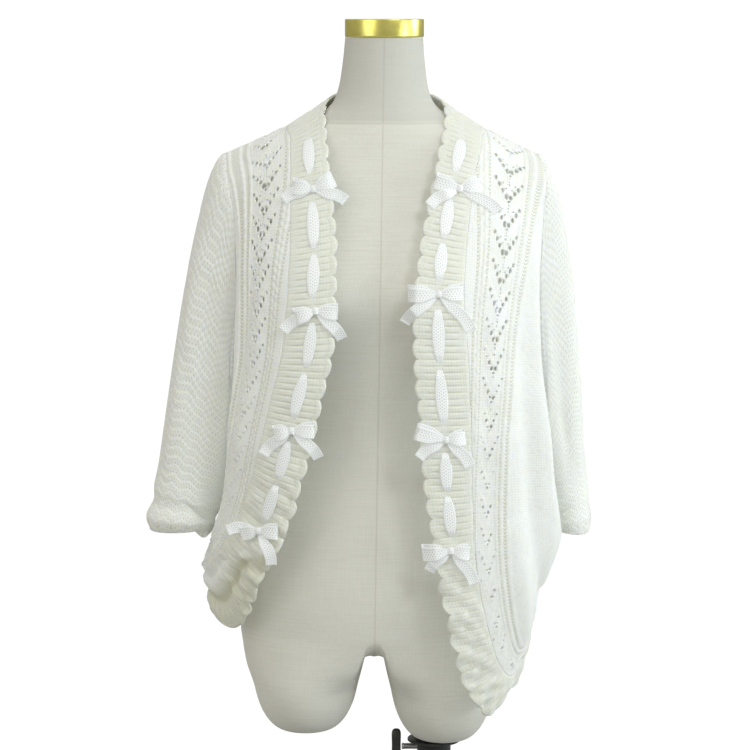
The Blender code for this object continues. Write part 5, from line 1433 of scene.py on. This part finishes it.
def knit_back(finish):
    rows, columns = BACK_STEPS
    v = np.linspace(0, 1, rows + 1)
    v = np.unique(np.round(np.append(v, (UNDERARM_V, SIDE_V)), 9))
    a = np.linspace(0, 1, columns + 1)
    patches = []
    long = lengths_along(back_point(RIGHT, np.full(len(v), 0.4), v))
    for side in (RIGHT, LEFT):
        grid_v, grid_a = grid(v, a)
        points = back_point(side, grid_a, grid_v)
        wide = np.abs(side_line(side, v)[:, 0]) * 1.12
        knit = np.stack((side.sign * grid_a * wide[:, None], grid(long, a)[0]), -1)
        halves = [Patch(points, knit)]
        below = v[(v >= UNDERARM_V - 1e-9) & (v <= SIDE_V + 1e-9)]
        s = np.linspace(0, 1, UNDER_STEPS + 1)
        grid_v, grid_s = grid(below, s)
        points = back_under(side, grid_s, grid_v)
        wide = np.interp(below, v, wide)
        down = np.interp(below, v, long)
        x = side.sign * (wide[:, None] + grid_s * TURNED_KNIT)
        halves.append(Patch(points, np.stack((x, grid(down, s)[0]), -1)))
        patches += [turned_over(half) for half in halves] if side is RIGHT else halves
    return cloth_shell("knit_back", patches, finish)


def knit_sleeve(side, finish):
    rows, around = SLEEVE_STEPS
    q = np.unique(np.round(np.append(np.linspace(0, 1, around + 1), (UNDERARM_Q, 0.5, 1 - UNDERARM_Q)), 9))
    w = np.linspace(0, 1, rows + 1)
    grid_w, grid_q = grid(w, q)
    points = sleeve_point(side, grid_q, grid_w)
    long = lengths_along(sleeve_point(side, np.full(rows + 1, 0.25), w))
    cuff = smooth_step(*CUFF_FROM, grid_w)
    ribs = np.abs(np.sin(math.pi * SLEEVE_WALES / 2 * grid_q)) ** 0.7
    height = 0.7 * MM * (ribs - 0.3) * cuff
    height = height + 0.5 * MM * bell(grid_w, CUFF_LINE, 0.006)
    # Painted shade in the cuff's rib grooves
    painted_shade = cuff * bell(ribs, 0, 0.3) * 0.35
    # Painted shade on the sleeve where it lies beside the front
    shade_beside_front = smooth_step(0.0, 0.036, INNER_SHADE - np.abs(points[..., 0])) * smooth_step(0.30, 0.42, grid_w)
    painted_shade = np.maximum(painted_shade, side.cuff.folded ** 2 * 0.12 * shade_beside_front)
    knit = np.stack((grid_q * SLEEVE_WALES * WALE, grid(long, q)[0]), -1)
    middle = points.mean(1)

    def inside(places):
        row = np.argmin(np.abs(places[:, None, 2] - middle[None, 4:, 2]), axis=1)
        return middle[4:][row]

    patch = Patch(points, knit, height, painted_shade)
    return cloth_shell("knit_sleeve_" + side.name, [patch], finish, rounding=0.8, inside=inside)


def ribbon_spans(side):
    """Row spans of the ribbon's stretches, between the bows and beside the ends."""
    knots = [bow.row for bow in side.bows]
    spans = [(RIBBON_TOP_ROW, knots[0] - RIBBON_TO_FIRST_BOW)]
    for above, below in zip(knots, knots[1:]):
        start, end = above + RIBBON_TO_BOW, below - RIBBON_TO_BOW
        step = (end - start) / RIBBONS_BETWEEN
        for number in range(RIBBONS_BETWEEN):
            spans.append((start + step * (number + RIBBON_DIVE), start + step * (number + 1 - RIBBON_DIVE)))
    return spans


def ribbon_knit(long):
    """A ribbon's own coordinates: across it, and along it."""
    down, across = grid(long, RIBBON_PLACES * RIBBON_HALF)
    return np.stack((across, down), -1)


def ribbon_stretches(side, finish):
    """Ribbon over the band, narrow where it dives through the knit."""
    places = RIBBON_PLACES
    shells, total = [], 0.0
    for t_from, t_to in ribbon_spans(side):
        share = np.linspace(0, 1, 41)
        t = t_from + (t_to - t_from) * share
        line = np.full(len(t), RIBBON_LINE)
        middle = band_point(side, t, line)
        way = unit(band_point(side, t, line + 0.1) - band_point(side, t, line - 0.1))
        run = unit(np.gradient(middle, axis=0))
        out = np.cross(way, run)
        out = out * np.sign((out * outwards(middle)).sum(1))[:, None]
        swell = np.sin(math.pi * share)
        half = RIBBON_FULL * (0.36 + 0.64 * swell**0.8)
        lift = 1.6 * MM + 2.3 * MM * smooth_step(0, 0.14, np.minimum(share, 1 - share))
        crease = 0.35 * MM * np.cos(3 * math.pi * places)[None, :] * (1 - swell)[:, None]
        curve = 0.8 * MM * (1 - places**2)[None, :] * swell[:, None]
        height = lift[:, None] + curve + crease
        points = middle[:, None, :] + way[:, None, :] * (half[:, None] * places[None, :])[..., None]
        points = points + out[:, None, :] * height[..., None]
        long = lengths_along(middle)
        shells.append(Patch(points, ribbon_knit(long)))
        total += long[-1]
    obj = cloth_shell("ribbon_" + side.name, shells, finish, wall=RIBBON_WALL, rounding=0.5)
    return obj, total


def nodes_surface(names):
    """The solids' meshes together, for laying one thing over another."""
    corners, faces = [], []
    for name in names:
        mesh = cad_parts[name].data
        start = len(corners)
        corners += [vertex.co.copy() for vertex in mesh.vertices]
        faces += [tuple(start + i for i in face.vertices) for face in mesh.polygons]
    return BVHTree.FromPolygons(corners, faces)


def bow_loop(end, hand):
    """Rows down a loop: out in front, round its end, and back behind."""
    length = math.hypot(*end)
    way = np.array(end) / length
    side_way = np.array((-way[1], way[0]))
    rows = []
    for number in range(LOOP_STEPS + 1):
        p = number / LOOP_STEPS
        share = math.sin(math.pi * p)
        lean = (5.0 if p < 0.5 else -7.0) * hand * math.sin(math.pi * share / 2) * length / 30
        plan = way * (share * length) + side_way * (lean * 0.28)
        lift_front, lift_back = 3.4 + 3.8 * math.sin(math.pi * (share * 0.8)), 1.0
        blend = float(smooth_step(0.36, 0.64, p))
        lift = lift_front + (lift_back - lift_front) * blend
        half = 2.4 + 5.8 * float(smooth_step(0.0, 0.55, share))
        rows.append((plan[0], plan[1], lift, half, side_way[0], side_way[1], share))
    return rows


def bow_tail(end, hand):
    """Rows down a tail: a soft curve with a slanted end."""
    length = math.hypot(*end)
    way = np.array(end) / length
    side_way = np.array((-way[1], way[0]))
    rows = []
    for number in range(TAIL_STEPS + 1):
        share = number / TAIL_STEPS
        bend = hand * 2.4 * math.sin(math.pi * share) - hand * 1.2 * math.sin(2 * math.pi * share)
        plan = way * (share * length) + side_way * bend
        lift = 1.6 + 1.8 * math.sin(math.pi * share * 1.15) ** 2 + 0.8 * share
        half = 2.3 + 4.7 * float(smooth_step(0.0, 0.50, share))
        rows.append((plan[0], plan[1], lift, half, side_way[0], side_way[1], share))
    return rows


def lay_strip(rows, knot, depth_at, slant=0.0):
    """Turns plan rows into a patch of ribbon that follows what lies behind it."""
    rows = np.array(rows, float)
    places = RIBBON_PLACES
    plan = rows[:, None, :2] + rows[:, None, 4:6] * (rows[:, 3][:, None] * places[None, :])[..., None]
    share = rows[:, 6]
    if slant:
        run = unit(np.gradient(rows[:, :2], axis=0))
        push = slant * smooth_step(0.75, 1.0, share)
        plan = plan + run[:, None, :] * (push[:, None] * places[None, :])[..., None]
    x, z = knot[0] + plan[..., 0] * MM, knot[2] + plan[..., 1] * MM
    behind = np.array([[depth_at(px, pz) for px, pz in zip(rx, rz)] for rx, rz in zip(x[:, ::2], z[:, ::2])])
    nearest = behind.min(1)
    padded = np.pad(nearest, 3, mode="edge")
    nearest = np.min([padded[i : i + len(nearest)] for i in range(7)], axis=0)
    padded = np.pad(nearest, 4, mode="edge")
    nearest = np.mean([padded[i : i + len(nearest)] for i in range(9)], axis=0)
    gather = np.exp(-share / 0.28)[:, None]
    ripple = 0.55 * np.cos(3 * math.pi * places)[None, :] * gather
    cup = 0.8 * (places**2)[None, :] * smooth_step(0.3, 1, share)[:, None]
    y = nearest[:, None] - (rows[:, 2][:, None] + ripple + cup) * MM
    points = np.stack((x, y, z), -1)
    long = lengths_along(points[:, 5])
    return Patch(points, ribbon_knit(long)), long[-1]


def knot_patch(knot_y, knot):
    """The bow's knot: ribbon wrapped tight, as a soft pleated barrel."""
    around, rows = 28, 12
    level, angle = grid(np.linspace(-1, 1, rows + 1), np.linspace(0, 2 * math.pi, around + 1))
    swell = (1 - np.abs(level) ** 3.2) ** 0.5
    pleat = 1 + 0.06 * np.cos(3 * math.pi * level) + 0.03 * np.sin(5 * angle)
    x = knot[0] + 3.6 * MM * swell * np.sin(angle) * pleat
    y = knot_y + (3.1 * MM * swell * pleat) * -np.cos(angle)
    z = knot[2] + 4.6 * MM * level
    points = np.stack((x, y, z), -1)
    knit = np.stack((level * RIBBON_HALF * 0.8, angle * 4 * MM), -1)
    return Patch(points, knit)


def make_bow(side, number, bow, surface, finish):
    knot = band_point(side, np.array([bow.row]), np.array([bow.across]))[0]

    def depth_at(x, z):
        hit = surface.ray_cast(Vector((x, -0.4, z)), Vector((0, 1, 0)))[0]
        limit = knot[1] + LOOSE_DEPTH
        return limit if hit is None else min(hit.y, limit)

    strips, total = [], 0.0
    for end, hand in ((bow.loop_a, 1), (bow.loop_b, -1)):
        patch, long = lay_strip(bow_loop(end, hand), knot, depth_at)
        strips.append(patch)
        total += long
    for end, hand in ((bow.tail_a, -1), (bow.tail_b, 1)):
        patch, long = lay_strip(bow_tail(end, hand), knot, depth_at, slant=2.2 * hand)
        strips.append(patch)
        total += long
    at_knot = min(float(strips[0].points[0, 5, 1]), float(strips[1].points[0, 5, 1]))
    strips.append(knot_patch(at_knot + 0.6 * MM, knot))
    obj = cloth_shell(
        f"ribbon_bow_{side.name}_{number}", strips, finish, wall=RIBBON_WALL, rounding=0.5,
        inside=lambda middle: middle + np.array((0, 1, 0)),
    )
    return obj, total + KNOT_LENGTH


def join_rings(bm, rings):
    """Faces from each ring of points to the next."""
    for lower, upper in zip(rings, rings[1:]):
        for i in range(len(lower)):
            j = (i + 1) % len(lower)
            bm.faces.new((lower[i], lower[j], upper[j], upper[i]))


def add_ring(bm, sides, place_at):
    turns = [2 * math.pi * i / sides for i in range(sides)]
    return [bm.verts.new(place_at(math.cos(angle), math.sin(angle))) for angle in turns]


def lathe(name, profile, place, finish, sides):
    """A turned solid: the profile's rows are radius and height, from the bottom up."""
    angle = 2 * math.pi * np.arange(sides) / sides
    profile = np.array(profile, float)
    x = place[0] + profile[:, 0][:, None] * np.cos(angle)[None, :]
    y = place[1] + profile[:, 0][:, None] * np.sin(angle)[None, :]
    z = profile[:, 1][:, None] * np.ones((1, sides))
    bm = bmesh.new()
    rings = [[bm.verts.new(p) for p in zip(*row)] for row in zip(x, y, z)]
    join_rings(bm, rings)
    bm.faces.new(rings[0][::-1])
    bm.faces.new(rings[-1])
    return add_solid(name, bm, finish)


def add_solid(name, bm, finish, sharp=35):
    bmesh.ops.remove_doubles(bm, verts=bm.verts[:], dist=0.01 * MM)
    bmesh.ops.recalc_face_normals(bm, faces=bm.faces[:])
    mesh = bpy.data.meshes.new(name)
    bm.to_mesh(mesh)
    bm.free()
    mesh.materials.append(finish)
    mesh.shade_smooth()
    mesh.set_sharp_from_angle(angle=math.radians(sharp))
    return add_object(name, mesh)


def cut(obj, cutter):
    """Takes the cutter's shape out of a piece."""
    trim = obj.modifiers.new("bore", "BOOLEAN")
    trim.operation = "DIFFERENCE"
    trim.solver = "EXACT"
    trim.object = cutter
    seen = obj.evaluated_get(bpy.context.evaluated_depsgraph_get())
    mesh = bpy.data.meshes.new_from_object(seen)
    obj.modifiers.clear()
    old, obj.data = obj.data, mesh
    bpy.data.meshes.remove(old)
    bpy.data.objects.remove(cutter)
    mesh.shade_smooth()
    mesh.set_sharp_from_angle(angle=math.radians(35))


def form_ring(z):
    """One section of the form, from the front's middle round by the left side."""
    rows = FORM.at(np.array([-z]))[0]
    angle = 2 * math.pi * np.arange(RING_POINTS) / RING_POINTS
    x, toward = rows[0] * np.sin(angle), np.cos(angle)
    depth = np.where(toward > 0, form_front(x, z, rows[1]), rows[2])
    return np.stack((x + form_lean(z), -depth * toward, np.full(RING_POINTS, z)), 1)


def stub_ring(stub, start, share, arch_x):
    """A section of a thigh's stub, between the crotch's outline and its round bottom."""
    top = CROTCH_HEIGHT + 0.02
    z = top + (stub.bottom * MM - top) * share
    rounding = math.sqrt(max(1 - max(share - 0.30, 0) ** 2 / 0.49, 0))
    middle_x = stub.middle_x * MM
    angle = np.arctan2(start[:, 0] - middle_x, -start[:, 1])
    flat = STUB_FLAT + (1 - STUB_FLAT / (stub.half_x * MM)) * rounding * stub.half_x * MM
    deep = STUB_FLAT + (1 - STUB_FLAT / (stub.half_y * MM)) * rounding * stub.half_y * MM
    x, y = middle_x + flat * np.sin(angle), STUB_Y - deep * np.cos(angle)
    turned = np.stack((x, y, np.full(len(start), z)), 1)
    straight = start.copy()
    straight[:, 2] += (z - start[:, 2]) * float(smooth_step(0, 0.3, share))
    inner = np.abs(start[:, 0] - arch_x) < 0.5 * MM
    away = math.copysign(ARCH_HALF, middle_x - arch_x) * float(smooth_step(0, 0.12, share))
    straight[:, 0] += np.where(inner, away, 0)
    return straight + (turned - straight) * float(smooth_step(0, 0.55, share))


def linen_form(finish):
    """The torso: stacked sections, split at the crotch into two round stubs."""
    bm = bmesh.new()
    levels = np.concatenate((np.linspace(1.108, 0.96, 44), np.linspace(0.955, 0.38, 100)))
    rings = [[bm.verts.new(p) for p in form_ring(z)] for z in levels]
    bm.faces.new(rings[0])
    for upper, lower in zip(rings, rings[1:]):
        for i in range(RING_POINTS):
            j = (i + 1) % RING_POINTS
            bm.faces.new((upper[j], upper[i], lower[i], lower[j]))
    last = rings[-1]
    half = RING_POINTS // 2
    front, back = last[0].co.copy(), last[half].co.copy()
    arch_x = (STUB_RIGHT.middle_x + STUB_LEFT.middle_x) / 2 * MM
    crotch = []
    for number in range(1, CROTCH_POINTS + 1):
        share = number / (CROTCH_POINTS + 1)
        y = front.y + (back.y - front.y) * share
        z = front.z - (front.z - CROTCH_HEIGHT) * math.sin(math.pi * share) ** 0.6
        crotch.append(bm.verts.new((arch_x, y, z)))
    left_loop = last[: half + 1] + crotch[::-1]
    right_loop = last[half:] + [last[0]] + crotch
    for stub, loop in ((STUB_LEFT, left_loop), (STUB_RIGHT, right_loop)):
        start = np.array([vertex.co for vertex in loop])
        upper = loop
        for number in range(1, STUB_STEPS + 1):
            share = math.sin(math.pi / 2 * number / STUB_STEPS)
            lower = [bm.verts.new(p) for p in stub_ring(stub, start, share, arch_x)]
            for i in range(len(loop)):
                j = (i + 1) % len(loop)
                bm.faces.new((upper[j], upper[i], lower[i], lower[j]))
            upper = lower
        bm.faces.new(upper[::-1])
    form = add_solid("form_linen", bm, finish, sharp=50)
    bore = lathe("bore", ((POLE_RADIUS + BORE_GAP, 0.18), (POLE_RADIUS + BORE_GAP, POLE_TOP + SEAM_GAP)),
                 (POLE_X, POLE_Y), finish, 48)
    cut(form, bore)
    return form


def rounded_disc(radius, bottom, top, bevel, steps=5):
    """A profile for a disc with soft edges."""
    rows = []
    for number in range(steps + 1):
        turn = math.pi / 2 * number / steps
        rows.append((radius - bevel + bevel * math.sin(turn), bottom + bevel - bevel * math.cos(turn)))
    for number in range(steps + 1):
        turn = math.pi / 2 * number / steps
        rows.append((radius - bevel + bevel * math.cos(turn), top - bevel + bevel * math.sin(turn)))
    return rows


def make_stand(black, steel, brass):
    """The parts that carry the form, each in place of its plain solid."""
    pieces = []
    base = rounded_disc(BASE_RADIUS, 0, BASE_HEIGHT, 3.0 * MM, 6)
    pieces.append((lathe("stand_foot", base, (0, 0), black, 160), "stand_base", "stand"))
    pole = rounded_disc(POLE_RADIUS, BASE_HEIGHT + SEAM_GAP, POLE_TOP, 1.2 * MM)
    pieces.append((lathe("stand_tube", pole, (POLE_X, POLE_Y), steel, 72), "stand_pole", "stand"))
    bore = POLE_RADIUS + BORE_GAP
    lip = SAUCER_HEIGHT
    socket = (
        (bore, SOCKET_BOTTOM),
        (SOCKET_RADIUS - 2.0 * MM, SOCKET_BOTTOM),
        (SOCKET_RADIUS - 0.5 * MM, SOCKET_BOTTOM + 0.5 * MM),
        (SOCKET_RADIUS, SOCKET_BOTTOM + 2.0 * MM),
        (SOCKET_RADIUS, SOCKET_TOP - 1.7 * lip),
        (SOCKET_RADIUS + 1.0 * MM, SOCKET_TOP - 1.2 * lip),
        (SAUCER_RADIUS - 0.8 * MM, SOCKET_TOP - lip),
        (SAUCER_RADIUS, SOCKET_TOP - 0.8 * lip),
        (SAUCER_RADIUS, SOCKET_TOP - 0.2 * lip),
        (SAUCER_RADIUS - 0.6 * MM, SOCKET_TOP),
        (bore, SOCKET_TOP),
    )
    tube = ring_lathe("stand_sleeve", socket, (POLE_X, POLE_Y), black, 96)
    around_screw = SCREW_RADIUS + SEAM_GAP
    hole = turned_along_x("screw_hole", [(around_screw, HOLE_FROM_X), (around_screw, POLE_X)], black)
    cut(tube, hole)
    pieces.append((tube, "stand_socket", "form"))
    lean = form_lean(CAP_TOP)
    cap = rounded_disc(CAP_RADIUS, CAP_BOTTOM, CAP_TOP, 1.6 * MM, 6)
    top = [(CAP_RADIUS * f, CAP_TOP) for f in (0.93, 0.5)]
    pieces.append((lathe("neck_disc", cap + top, (lean, 0), brass, 128), "neck_cap", "form"))
    pieces.append((wing("clamp_wing", black), "clamp_handle", "clamp"))
    shaft_end = POLE_X - POLE_RADIUS - SEAM_GAP
    start = WING_X + WING_HALF[0] + SEAM_GAP
    pieces.append((threaded_rod("clamp_thread", start, shaft_end, steel), "clamp_screw", "clamp"))
    return pieces


def ring_lathe(name, profile, place, finish, sides):
    """A turned ring with a hole: the profile is a closed loop."""
    bm = bmesh.new()
    rings = [
        add_ring(bm, sides, lambda c, s: (place[0] + radius * c, place[1] + radius * s, z))
        for radius, z in profile
    ]
    join_rings(bm, rings + rings[:1])
    return add_solid(name, bm, finish)


def turned_along_x(name, profile, finish, sides=32):
    """A solid turned about the clamp screw's axis: rows of radius and x."""
    bm = bmesh.new()
    rings = [
        add_ring(bm, sides, lambda c, s: (x, POLE_Y + radius * c, SCREW_HEIGHT + radius * s))
        for radius, x in profile
    ]
    join_rings(bm, rings)
    bm.faces.new(rings[0][::-1])
    bm.faces.new(rings[-1])
    return add_solid(name, bm, finish)


def threaded_rod(name, x_from, x_to, finish):
    """The clamp's screw, with a collar and fine thread."""
    pitch = 1.2 * MM
    rows = [
        (SCREW_RADIUS * 0.8, x_from),
        (SCREW_RADIUS, x_from + 0.6 * MM),
        (SCREW_RADIUS, x_from + 2.5 * MM),
    ]
    x = x_from + 3.2 * MM
    while x < x_to - 1.2 * MM:
        rows.append((SCREW_RADIUS * 0.86, x))
        rows.append((SCREW_RADIUS * 0.99, x + pitch / 2))
        x += pitch
    rows.append((SCREW_RADIUS * 0.86, x_to - 0.6 * MM))
    rows.append((SCREW_RADIUS * 0.6, x_to))
    return turned_along_x(name, rows, finish, 40)


def wing(name, finish):
    """The bar handle, waisted and rounded."""
    half_x, half_y, half_z = WING_HALF
    bm = bmesh.new()
    rows, around = 28, 28
    rings = []
    for row in range(rows + 1):
        level = math.sin(math.pi / 2 * (2 * row / rows - 1))
        cap = (1 - abs(level) ** 7) ** 0.5
        waist = 0.86 + 0.14 * level * level

        def place_at(c, s):
            x = math.copysign(abs(c) ** WING_ROUND, c) * half_x * cap * waist
            y = math.copysign(abs(s) ** WING_ROUND, s) * half_y * cap * waist
            return WING_X + x, POLE_Y + y, SCREW_HEIGHT + half_z * level

        rings.append(add_ring(bm, around, place_at))
    join_rings(bm, rings)
    return add_solid(name, bm, finish)


def add_camera():
    data = bpy.data.cameras.new("camera")
    data.sensor_width = SENSOR
    data.lens = SENSOR * FOCAL_PIXELS / PHOTO_WIDTH
    data.clip_start, data.clip_end = 0.1, 50.0
    camera = add_object("camera", data)
    camera.location = CAMERA_PLACE
    camera.rotation_euler = (math.radians(90 - CAMERA_PITCH), 0, 0)
    bpy.context.scene.camera = camera


def add_light(name, place, target, size, energy, colour, spread):
    data = bpy.data.lights.new(name, "AREA")
    data.shape, data.size, data.energy, data.color = "DISK", size, energy, colour
    data.spread = math.radians(spread)
    lamp = add_object(name, data)
    lamp.location = place
    way = Vector(target) - Vector(place)
    lamp.rotation_euler = way.to_track_quat("-Z", "Y").to_euler()


def only_for_camera(tree, seen, lit):
    """Shows one shader to the camera and lights the object with another."""
    path = tree.nodes.new("ShaderNodeLightPath")
    both = tree.nodes.new("ShaderNodeMixShader")
    tree.links.new(path.outputs["Is Camera Ray"], both.inputs[0])
    tree.links.new(lit.outputs[0], both.inputs[1])
    tree.links.new(seen.outputs[0], both.inputs[2])
    return both.outputs[0]


def add_studio():
    """A room that the camera sees white, lit from above and all round, with four soft lamps."""
    scene = bpy.context.scene
    scene.view_settings.view_transform = "Standard"
    world = bpy.data.worlds.new("studio")
    scene.world = world
    world.use_nodes = True
    tree = world.node_tree
    around = tree.nodes["Background"]
    place = tree.nodes.new("ShaderNodeTexCoord")
    ramp = tree.nodes.new("ShaderNodeMapRange")
    parts = tree.nodes.new("ShaderNodeSeparateXYZ")
    levels = {"From Min": -0.3, "From Max": 0.8, "To Min": WORLD_BELOW, "To Max": WORLD_ABOVE}
    for name, value in levels.items():
        ramp.inputs[name].default_value = value
    tree.links.new(place.outputs["Generated"], parts.inputs[0])
    tree.links.new(parts.outputs[2], ramp.inputs[0])
    tree.links.new(ramp.outputs[0], around.inputs["Strength"])
    around.inputs["Color"].default_value = WORLD_COLOUR
    seen = tree.nodes.new("ShaderNodeBackground")
    seen.inputs["Color"].default_value = (1, 1, 1, 1)
    seen.inputs["Strength"].default_value = WHITE_SEEN
    tree.links.new(only_for_camera(tree, seen, around), tree.nodes["World Output"].inputs["Surface"])
    for name, lamp in LAMPS.items():
        add_light(name, *lamp)
    floor = Finish("floor", 0.9, 0.0, FLOOR_GREY)
    white = floor.node("ShaderNodeEmission", None, {"Color": (1, 1, 1, 1), "Strength": WHITE_SEEN})
    shown = only_for_camera(floor.tree, white, floor.shader)
    floor.tree.links.new(shown, floor.tree.nodes["Material Output"].inputs["Surface"])
    bm = bmesh.new()
    bmesh.ops.create_circle(bm, cap_ends=True, segments=128, radius=FLOOR_RADIUS)
    ground = add_solid("floor", bm, floor.material)
    if ground.data.polygons[0].normal.z < 0:
        ground.data.flip_normals()


def dress_cloth():
    """Puts each knitted piece on the form in place of its solid."""
    plain = knit_finish("knit_rib")
    open_work = knit_finish("knit_eyelet", eyelets=True)
    lacy = knit_finish("knit_lace", ladders=LADDERS)
    pieces = [
        (knit_front(RIGHT, LACE_RIGHT, 1.25 * MM, 72, lacy), ("front_right",), (0.17, 0.62), 0.070, "hung"),
        (knit_front(LEFT, LACE_LEFT, 1.55 * MM, 78, lacy), ("front_left",), (0.21, 0.68), 0.112, "hung"),
        (knit_back(open_work), ("back",), (0.46, 0.60), 0.25, "hung"),
        (knit_sleeve(RIGHT, open_work), ("sleeve_right",), (0.34, 0.48), 0.100, "hung"),
        (knit_sleeve(LEFT, open_work), ("sleeve_left",), (0.34, 0.48), 0.094, "hung"),
    ]
    bands = knit_bands(plain)
    flats = {"right": (0.058, 0.86), "left": (0.058, 0.96), "neck": (0.055, 0.26), "hem": (0.054, 0.60)}
    for name, flat in flats.items():
        pieces.append((bands[name], ("band_" + name,), flat, None, "hung"))
    for obj, nodes, flat, area, held in pieces:
        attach(obj, "form")
        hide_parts(*nodes)


def dress_ribbons():
    finish = lace_ribbon_finish()
    names = list(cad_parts)
    cloth = [n for n in names if n.startswith(("band_", "front_", "sleeve_", "ribbon_", "form_torso"))]
    surface = nodes_surface(cloth)
    for side in (RIGHT, LEFT):
        obj, long = ribbon_stretches(side, finish)
        nodes = [n for n in names if n.startswith("ribbon_" + side.name)]
        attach(obj, "form")
        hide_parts(*nodes)
        for number, bow in enumerate(side.bows, 1):
            obj, long = make_bow(side, number, bow, surface, finish)
            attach(obj, "form")
            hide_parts(f"bow_{side.name}_{number}")


def dress_stand():
    form = linen_form(linen_finish())
    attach(form, "form")
    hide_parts("form_torso")
    for obj, node, body in make_stand(black_finish(), steel_finish(), brass_finish()):
        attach(obj, body)
        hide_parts(node)


add_camera()
add_studio()
dress_cloth()
dress_ribbons()
dress_stand()
